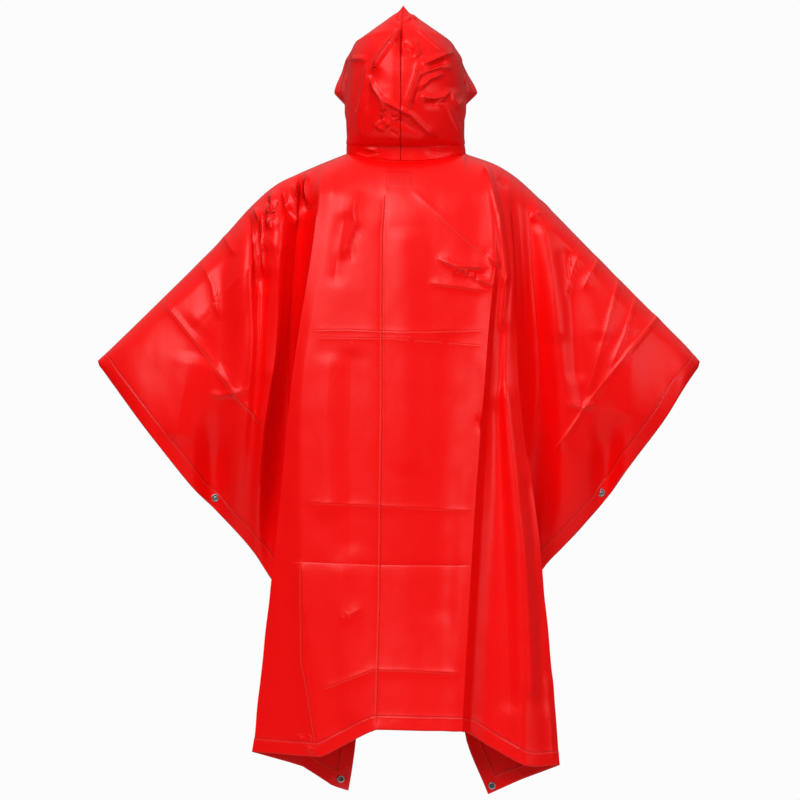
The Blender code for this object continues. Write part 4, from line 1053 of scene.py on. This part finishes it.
def turned(mesh, profile, centre, axis):
    """A profile spun round the axis, closed at its last ring."""
    # Painted shade: each ring's share of the darkening in the hollows, kept on its vertices.
    grime = mesh.verts.layers.float.new("grime")
    side = axis.orthogonal().normalized()
    corners = []
    for ring in [*profile, profile[-1]._replace(radius=0)]:
        corner = mesh.verts.new(centre + side * ring.radius * MM + axis * ring.lift * MM)
        corner[grime] = ring.grime
        corners.append(corner)
    edges = [mesh.edges.new(pair) for pair in zip(corners, corners[1:])]
    bmesh.ops.spin(mesh, geom=corners + edges, cent=centre, axis=axis, angle=2 * math.pi, steps=SNAP_SEGMENTS,
                   use_merge=True, use_duplicate=False)
    bmesh.ops.remove_doubles(mesh, verts=mesh.verts[:], dist=MERGE_DISTANCE)


def finish_snap(name, mesh, material):
    rims = [edge for edge in mesh.edges if edge.is_boundary]
    if rims:
        bmesh.ops.holes_fill(mesh, edges=rims)
    bmesh.ops.recalc_face_normals(mesh, faces=mesh.faces[:])
    take_place(smooth_piece(name, mesh, material, METAL_SMOOTH_ANGLE), name)


def make_snap(name, surface, near, axis, profile, material):
    """A snap half pressed onto the cloth: it stands on the face that a line along its axis meets first."""
    hit = surface.ray_cast(near + axis * SNAP_SEARCH, -axis)[0]
    mesh = bmesh.new()
    turned(mesh, profile, hit - axis * SNAP_SINK, axis)
    finish_snap(name, mesh, material)


def make_core(name, back, front, centre, material):
    """The post of a closed snap, from the inner face of one hem to that of the other."""
    first = back.ray_cast(centre, BEHIND)[0]
    second = front.ray_cast(centre, -BEHIND)[0]
    mesh = bmesh.new()
    bmesh.ops.create_cone(mesh, cap_ends=True, segments=SNAP_SEGMENTS, radius1=CORE_RADIUS,
                          radius2=CORE_RADIUS, depth=(second - first).length * CORE_FILL)
    upright = BEHIND.to_track_quat("Z", "Y").to_matrix()
    bmesh.ops.rotate(mesh, verts=mesh.verts[:], cent=(0, 0, 0), matrix=upright)
    bmesh.ops.translate(mesh, verts=mesh.verts[:], vec=(first + second) / 2)
    rims = [edge for edge in mesh.edges if edge.calc_face_angle(0) > 1]
    bmesh.ops.bevel(mesh, geom=rims, offset=CORE_BEVEL, offset_type="OFFSET", affect="EDGES",
                    segments=CORE_BEVEL_STEPS, profile=0.5, material=-1)
    finish_snap(name, mesh, material)


def node_middle(node):
    low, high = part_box(node)
    return (Vector(low) + Vector(high)) / 2


def make_snaps(back, front, metal):
    """The closed snap at each side, and an open one at each lower corner of both panels."""
    for hand in ("left", "right"):
        core = f"side_snap_{hand}_core"
        centre = node_middle(core)
        make_core(core, back, front, centre, metal)
        for panel, surface, axis in (("back", back, BEHIND), ("front", front, -BEHIND)):
            cap = f"side_snap_{hand}_{panel}"
            near = Vector((centre.x, node_middle(cap).y, centre.z))
            make_snap(cap, surface, near, axis, CAP_PROFILE, metal)
    for panel, surface in (("back", back), ("front", front)):
        for hand in ("left", "right"):
            socket = f"corner_snap_{panel}_{hand}_socket"
            cap = f"corner_snap_{panel}_{hand}_cap"
            middle = (node_middle(socket) + node_middle(cap)) / 2
            axis = (node_middle(socket) - node_middle(cap)).normalized()
            make_snap(socket, surface, middle, axis, SOCKET_PROFILE, metal)
            make_snap(cap, surface, middle, -axis, CAP_PROFILE, metal)


# ------------------------------------------------ materials


class Wire:
    """A node's output socket that Python's operators join to new Math nodes."""

    def __init__(self, surface, socket):
        self.surface = surface
        self.socket = socket

    def maths(self, operation, *others, swap=False):
        values = [other.socket if isinstance(other, Wire) else other for other in others]
        values = [*values, self.socket] if swap else [self.socket, *values]
        return self.surface.node("ShaderNodeMath", {"operation": operation}, dict(enumerate(values)))

    def __add__(self, other):
        return self.maths("ADD", other)

    def __sub__(self, other):
        return self.maths("SUBTRACT", other)

    def __mul__(self, other):
        return self.maths("MULTIPLY", other)

    def __truediv__(self, other):
        return self.maths("DIVIDE", other)

    def __rsub__(self, other):
        return self.maths("SUBTRACT", other, swap=True)

    __radd__ = __add__
    __rmul__ = __mul__

    def near(self, line):
        """1 on a line that the value is the distance from, falling smoothly to nothing beside it."""
        return (self - line.away).peak(line.width)

    def peak(self, width):
        """1 where the value is 0, falling smoothly to nothing at a few widths from it."""
        scaled = self / width
        return (scaled * scaled * -1.0).maths("EXPONENT")

    def kink(self, steep, gentle):
        """1 where the value is 0, falling from a sharp ridge over a steep side and a gentle one."""
        return ((self / steep).maths("MAXIMUM", self / -gentle) * -1.0).maths("EXPONENT")

    def window(self, low, high):
        """0 up to low, rising smoothly to 1 at high."""
        settings = {"interpolation_type": "SMOOTHSTEP"}
        sockets = {"Value": self, "From Min": low, "From Max": high}
        return self.surface.node("ShaderNodeMapRange", settings, sockets)

    def inside(self, low, high, blur):
        """1 between low and high, and 0 beyond them."""
        return self.window(low - blur, low + blur) * self.window(high + blur, high - blur)


class Finish:
    """A material under construction."""

    def __init__(self, name):
        self.material = bpy.data.materials.new(name)
        self.material.use_nodes = True
        self.tree = self.material.node_tree
        self.shader = self.tree.nodes["Principled BSDF"]

    def node(self, kind, settings, sockets, output=0):
        made = self.tree.nodes.new(kind)
        for key, value in settings.items():
            setattr(made, key, value)
        for key, value in sockets.items():
            if isinstance(value, Wire):
                value = value.socket
            if isinstance(value, bpy.types.NodeSocket):
                self.tree.links.new(value, made.inputs[key])
            else:
                made.inputs[key].default_value = value
        return Wire(self, made.outputs[output])

    def attribute(self, name):
        return self.node("ShaderNodeAttribute", {"attribute_name": name}, {}, "Fac")

    def place(self):
        return self.node("ShaderNodeTexCoord", {}, {}, "Object")

    def axis(self, vector, name):
        return self.node("ShaderNodeSeparateXYZ", {}, {0: vector}, name)

    def grain(self, vector, grain, stretch=None):
        if stretch:
            vector = self.node("ShaderNodeMapping", {}, {"Vector": vector, "Scale": stretch})
        sockets = {"Vector": vector, "Scale": grain.scale, "Detail": grain.detail}
        return self.node("ShaderNodeTexNoise", {}, sockets)

    def mixed(self, factor, first, second):
        return self.node("ShaderNodeMix", {"data_type": "RGBA"}, {0: factor, 6: first, 7: second}, 2)

    def relief(self, height):
        return self.node("ShaderNodeBump", {}, {"Strength": 1.0, "Distance": 1.0, "Height": height})

    def set(self, **values):
        for key, value in values.items():
            socket = self.shader.inputs[key.replace("_", " ")]
            if isinstance(value, Wire):
                self.tree.links.new(value.socket, socket)
            else:
                socket.default_value = value
        return self.material


# A noise in a finish: its scale to a metre, its detail, and how far it lifts the cloth or moves a line.
Grain = namedtuple("Grain", "scale detail rise")
SKIN = Grain(1500.0, 1.0, 0.012 * MM)
FILM = Grain(230.0, 3.0, 0.05 * MM)
RIPPLE = Grain(42.0, 3.0, 0.5 * MM)
RIPPLE_STRETCH = (1.0, 1.0, 0.5)
WAVER = Grain(60.0, 2.0, 1.8 * MM)
HEM_CRINKLE = Grain(85.0, 2.0, 0.7 * MM)
SEAM_CRINKLE = Grain(120.0, 2.0, 0.7 * MM)
BLOTCH = Grain(7.0, 2.0, 0.0)
LABEL_WEAVE = Grain(900.0, 1.0, 0.08 * MM)
SCRATCHES = Grain(1400.0, 2.0, 0.015 * MM)
SCRATCH_STRETCH = (1.0, 0.2, 1.0)
STAIN = Grain(260.0, 3.0, 0.0)
FLOOR_TONE = Grain(3.0, 2.0, 0.0)

# A line in the cloth: how far it lies from an edge or a crease, its width, how far it stands out, and how
# strongly it is coloured: painted highlight on the rolled edge and the lips, painted shade along the edge, in
# the grooves and below the hem, and thread in the stitches and seams. A pucker only says where its crinkle
# shows.
Line = namedtuple("Line", "away width rise tone")
SHEEN_EDGE = Line(0.0, 1.6 * MM, 0.0, 0.1)
DARK_EDGE = Line(0.0, 0.7 * MM, 0.0, 0.35)
GROOVE = Line(0.0, 0.8 * MM, -0.3 * MM, 0.35)
LIP = Line(2.2 * MM, 1.3 * MM, 0.22 * MM, 0.30)
HEM_GROOVE = Line(HEM_WIDTH, 0.7 * MM, -0.45 * MM, 0.6)
HEM_SHADE = Line(HEM_WIDTH + 1.8 * MM, 2.0 * MM, 0.0, 0.2)
HEM_LIP = Line(HEM_WIDTH - 2.8 * MM, 1.5 * MM, 0.22 * MM, 0.12)
HEM_PUCKER = Line(22 * MM, 9 * MM, 0.0, 0.0)
STITCH_ROW = Line(21.8 * MM, 0.4 * MM, 0.18 * MM, 0.55)
SEAM_GROOVE = Line(0.0, 0.6 * MM, -0.35 * MM, 0.5)
SEAM_PUCKER = Line(0.0, 7 * MM, 0.0, 0.0)
STITCH_PITCH = 3.2 * MM
STITCH_ENDS = (-0.25, 0.35)
BEND_STEEP = 2.2 * MM
BEND_GENTLE = 6.5 * MM
BLOTCH_SPREAD = (0.3, 0.75)
BLOTCH_TONE = 0.35
LABEL_BLUR = 1 * MM
LABEL_SHADOW_TONE = 0.28
LABEL_RISE = 0.3 * MM
LABEL_SHOWS_BEHIND = (-20 * MM, -30 * MM)

RED = (0.94, 0.0022, 0.0016, 1)
DEEP_RED = (0.88, 0.0006, 0.0010, 1)
# Painted highlight: the pale sheen laid on crease lips, the hem's lip and the rolled free edge.
SHEEN_RED = (0.97, 0.085, 0.06, 1)
# Painted shade: the dark laid in crease grooves, along the free edge, below the hem and over the label
# inside.
SHADE_RED = (0.62, 0.001, 0.003, 1)
THREAD_RED = (0.42, 0.002, 0.004, 1)
CLOTH_ROUGHNESS = 0.34
FILM_ROUGHNESS = 0.14
CLOTH_SPECULAR = 0.22

LABEL_RED = (0.7, 0.02, 0.02, 1)
LABEL_DEEP_RED = (0.55, 0.01, 0.012, 1)
LABEL_SPREAD = (0.35, 0.7)
LABEL_ROUGHNESS = 0.55
WEAVE_ROUGHNESS = 0.2

NICKEL = (0.46, 0.44, 0.43, 1)
STAINED_NICKEL = (0.26, 0.24, 0.23, 1)
STAIN_SPREAD = (0.4, 0.7)
# Painted shade: the near black laid in the snaps' hollows and at their foot.
SHADED_METAL = (0.03, 0.025, 0.025, 1)
METAL_SHADE_TONE = 0.85
METAL_ROUGHNESS = 0.24
SCRATCH_ROUGHNESS = 0.2
STAIN_ROUGHNESS = 0.08
RECESS_ROUGHNESS = 0.2

FLOOR_PALE = (0.60, 0.60, 0.60, 1)
FLOOR_SHADE = (0.57, 0.57, 0.57, 1)
FLOOR_SPREAD = (0.3, 0.7)
FLOOR_ROUGHNESS = 0.7


def pressed_lines(finish, waver):
    """The rise, the painted highlight and the painted shade of the creases: a sharp bend with a fine groove
    and its lip.
    """
    rise, painted_sheen, dark = 0.0, 0.0, 0.0
    for layer in CREASE_LAYERS:
        distance = finish.attribute(f"distance_{layer}") + waver
        line = finish.attribute(f"line_{layer}")
        bend = finish.attribute(f"bend_{layer}") * distance.kink(BEND_STEEP, BEND_GENTLE)
        groove = distance.near(GROOVE) * line
        lip = distance.near(LIP) * line
        rise = bend + groove * GROOVE.rise + lip * LIP.rise + rise
        # Painted highlight on the crease's lip, and painted shade in its groove.
        painted_sheen = lip * LIP.tone + painted_sheen
        dark = groove * GROOVE.tone + dark
    return rise, painted_sheen, dark


def coated_cloth(name, with_label_shape):
    """Smooth coated red cloth with pressed packing lines, a sewn hem and a faint uneven skin, with painted
    highlight and painted shade along its lines and edges.
    """
    finish = Finish(name)
    place = finish.place()
    edge = finish.attribute("edge")
    seam = finish.attribute("seam")
    film = finish.grain(place, FILM)
    ripple = finish.grain(place, RIPPLE, RIPPLE_STRETCH)
    waver = (finish.grain(place, WAVER) - 0.5) * WAVER.rise
    rise, painted_sheen, dark = pressed_lines(finish, waver)

    along = finish.axis(finish.node("ShaderNodeUVMap", {"uv_map": "cut"}, {}), "X")
    stitch_wave = (along * (2 * math.pi / STITCH_PITCH)).maths("SINE").window(*STITCH_ENDS)
    stitches = edge.near(STITCH_ROW) * stitch_wave
    hem_line = edge.near(HEM_GROOVE)
    hem_lip = edge.near(HEM_LIP)
    seam_line = seam.near(SEAM_GROOVE)
    hem_pucker = (finish.grain(place, HEM_CRINKLE) - 0.5) * edge.near(HEM_PUCKER)
    seam_pucker = (finish.grain(place, SEAM_CRINKLE) - 0.5) * seam.near(SEAM_PUCKER)

    height = finish.grain(place, SKIN) * SKIN.rise + film * FILM.rise + ripple * RIPPLE.rise + rise
    height = height + hem_line * HEM_GROOVE.rise + hem_lip * HEM_LIP.rise + stitches * STITCH_ROW.rise
    height = height + seam_line * SEAM_GROOVE.rise
    height = height + hem_pucker * HEM_CRINKLE.rise + seam_pucker * SEAM_CRINKLE.rise

    # Painted highlight on the rolled free edge and the hem's lip, painted shade along the free edge and below
    # the hem.
    painted_sheen = painted_sheen + edge.near(SHEEN_EDGE) * SHEEN_EDGE.tone + hem_lip * HEM_LIP.tone
    dark = dark + edge.near(DARK_EDGE) * DARK_EDGE.tone + edge.near(HEM_SHADE) * HEM_SHADE.tone
    thread = stitches * STITCH_ROW.tone + hem_line * HEM_GROOVE.tone + seam_line * SEAM_GROOVE.tone
    blotch = finish.grain(place, BLOTCH).window(*BLOTCH_SPREAD)
    colour = finish.mixed(blotch * BLOTCH_TONE, RED, DEEP_RED)
    # Painted highlight and painted shade over the cloth's own tone, then the thread.
    colour = finish.mixed(painted_sheen, colour, SHEEN_RED)
    colour = finish.mixed(dark, colour, SHADE_RED)
    colour = finish.mixed(thread, colour, THREAD_RED)
    # The label inside the neck: painted shadow on the cloth, and a slight rise.
    if with_label_shape:
        shape = label_shadow(finish, place)
        colour = finish.mixed(shape * LABEL_SHADOW_TONE, colour, SHADE_RED)
        height = height + shape * LABEL_RISE
    return finish.set(
        Base_Color=colour,
        Roughness=CLOTH_ROUGHNESS + (film - 0.5) * FILM_ROUGHNESS,
        Specular_IOR_Level=CLOTH_SPECULAR,
        Normal=finish.relief(height),
    )


def label_shadow(finish, place):
    """The painted shadow of the label inside the neck, which also presses through: 1 inside its rectangle."""
    across = finish.axis(place, "X").inside(LABEL_LEFT, LABEL_RIGHT, LABEL_BLUR)
    height = finish.axis(place, "Z").inside(LABEL_FOOT, LABEL_TOP, LABEL_BLUR)
    return across * height * finish.axis(place, "Y").window(*LABEL_SHOWS_BEHIND)


def label_cloth():
    """The plain matt backing of the label."""
    finish = Finish("label_cloth")
    weave = finish.grain(finish.place(), LABEL_WEAVE)
    colour = finish.mixed(weave.window(*LABEL_SPREAD), LABEL_RED, LABEL_DEEP_RED)
    roughness = LABEL_ROUGHNESS + weave * WEAVE_ROUGHNESS
    return finish.set(Base_Color=colour, Roughness=roughness, Normal=finish.relief(weave * LABEL_WEAVE.rise))


def snap_metal():
    """Nickelled metal with fine turning marks, and painted shade in the hollows of its ring and at its foot.
    """
    finish = Finish("snap_metal")
    place = finish.place()
    grime = finish.attribute("grime")
    scratches = finish.grain(place, SCRATCHES, SCRATCH_STRETCH)
    stain = finish.grain(place, STAIN).window(*STAIN_SPREAD)
    colour = finish.mixed(stain, NICKEL, STAINED_NICKEL)
    # Painted shade darkens the ring's hollows and its foot.
    colour = finish.mixed(grime * METAL_SHADE_TONE, colour, SHADED_METAL)
    roughness = METAL_ROUGHNESS + scratches * SCRATCH_ROUGHNESS
    roughness = roughness + stain * STAIN_ROUGHNESS + grime * RECESS_ROUGHNESS
    relief = finish.relief(scratches * SCRATCHES.rise)
    return finish.set(Base_Color=colour, Roughness=roughness, Metallic=1.0, Normal=relief)


def floor_finish():
    finish = Finish("pale_floor")
    tone = finish.grain(finish.place(), FLOOR_TONE).window(*FLOOR_SPREAD)
    colour = finish.mixed(tone, FLOOR_PALE, FLOOR_SHADE)
    return finish.set(Base_Color=colour, Roughness=FLOOR_ROUGHNESS)


# ------------------------------------------------ studio

PHOTO_PIXELS = 800
PHOTO_MIDDLE = PHOTO_PIXELS / 2
ORIGIN_COLUMN = 400.5
ORIGIN_ROW = 158
PIXEL = 1.76 * MM
CAMERA_DISTANCE = 40.0
CAMERA_REACH = 200.0
SENSOR = 36.0


def make_camera():
    """A camera so far away that its picture is flat, with each point at its place in the photo."""
    data = bpy.data.cameras.new("camera")
    data.sensor_width = SENSOR
    data.lens = SENSOR * CAMERA_DISTANCE / (PHOTO_PIXELS * PIXEL)
    data.clip_end = CAMERA_REACH
    camera = bpy.data.objects.new("camera", data)
    across = (PHOTO_MIDDLE - ORIGIN_COLUMN) * PIXEL
    height = (ORIGIN_ROW - PHOTO_MIDDLE) * PIXEL
    camera.location = (across, -CAMERA_DISTANCE, height)
    camera.rotation_euler = (math.pi / 2, 0, 0)
    bpy.context.scene.collection.objects.link(camera)
    bpy.context.scene.camera = camera


# place is where the light stands and target the point that it looks at, in metres. The front light doesn't
# shine in the cloth's gloss, which would whiten the garment's outline as seen from behind.
StudioLight = namedtuple("StudioLight", "name place target size power shines")
STUDIO_LIGHTS = [
    StudioLight("key", (-1.1, -2.9, 1.4), (0.0, 0.0, -0.3), 2.3, 84, True),
    StudioLight("fill", (2.5, -2.2, 0.2), (0.1, 0.0, -0.3), 2.0, 24, True),
    StudioLight("front", (-0.4, 3.2, 0.4), (0.0, 0.0, -0.5), 3.0, 44, False),
]


def make_lights():
    for row in STUDIO_LIGHTS:
        data = bpy.data.lights.new(row.name, "AREA")
        data.shape = "DISK"
        data.size = row.size
        data.energy = row.power
        light = bpy.data.objects.new(row.name, data)
        light.location = row.place
        light.visible_glossy = row.shines
        direction = Vector(row.target) - Vector(row.place)
        light.rotation_euler = direction.to_track_quat("-Z", "Y").to_euler()
        bpy.context.scene.collection.objects.link(light)


# The room is brighter towards its ceiling. The camera sees it plain white, as the photo's background is.
FLOOR_BRIGHTNESS = 0.10
CEILING_BRIGHTNESS = 0.70
DIMMEST_HEIGHT = 0.05
BRIGHTEST_HEIGHT = 0.80
BACKGROUND_BRIGHTNESS = 0.975
FLOOR_HEIGHT = -1.45
FLOOR_RADIUS = 1.7
FLOOR_SEGMENTS = 96


def make_world():
    """A room that lights the cloth from above, before a white background."""
    world = bpy.data.worlds.new("studio")
    world.use_nodes = True
    tree = world.node_tree
    background = tree.nodes["Background"]
    background.inputs["Color"].default_value = (1, 1, 1, 1)
    direction = tree.nodes.new("ShaderNodeTexCoord")
    parts = tree.nodes.new("ShaderNodeSeparateXYZ")
    room = tree.nodes.new("ShaderNodeMapRange")
    room.inputs["From Min"].default_value = DIMMEST_HEIGHT
    room.inputs["From Max"].default_value = BRIGHTEST_HEIGHT
    room.inputs["To Min"].default_value = FLOOR_BRIGHTNESS
    room.inputs["To Max"].default_value = CEILING_BRIGHTNESS
    rays = tree.nodes.new("ShaderNodeLightPath")
    seen = tree.nodes.new("ShaderNodeMapRange")
    seen.inputs["To Max"].default_value = BACKGROUND_BRIGHTNESS
    tree.links.new(direction.outputs["Generated"], parts.inputs[0])
    tree.links.new(parts.outputs["Z"], room.inputs["Value"])
    tree.links.new(rays.outputs["Is Camera Ray"], seen.inputs["Value"])
    tree.links.new(room.outputs["Result"], seen.inputs["To Min"])
    tree.links.new(seen.outputs["Result"], background.inputs["Strength"])
    bpy.context.scene.world = world
    bpy.context.scene.view_settings.view_transform = "Standard"
    bpy.context.scene.view_settings.look = "None"


def make_floor():
    mesh = bmesh.new()
    bmesh.ops.create_circle(mesh, cap_ends=True, segments=FLOOR_SEGMENTS, radius=FLOOR_RADIUS)
    bmesh.ops.translate(mesh, verts=mesh.verts[:], vec=(0, 0, FLOOR_HEIGHT))
    object_of("floor", mesh, floor_finish())


def main():
    make_camera()
    make_lights()
    make_world()
    make_floor()
    back_cloth = coated_cloth("red_coated_cloth_back", True)
    cloth = coated_cloth("red_coated_cloth", False)
    metal = snap_metal()
    back_folds = LEFT_WING + BACK_BODY + RIGHT_WING
    front_folds = LEFT_WING + FRONT_BODY + RIGHT_WING
    back = make_panel("back_panel", back_folds, -1, BACK_PARTS, BACK_CREASES, BACK_WEAVE, back_cloth, 3.1)
    front = make_panel("front_panel", front_folds, 1, FRONT_PARTS, FRONT_CREASES, FRONT_WEAVE, cloth, 8.7)
    left = make_hood_half("hood_left", -1, cloth, 1.3)
    right = make_hood_half("hood_right", 1, cloth, 5.9)
    bpy.context.view_layer.update()
    label = make_label(surface_of(back), label_cloth())
    make_snaps(surface_of(back), surface_of(front), metal)


main()
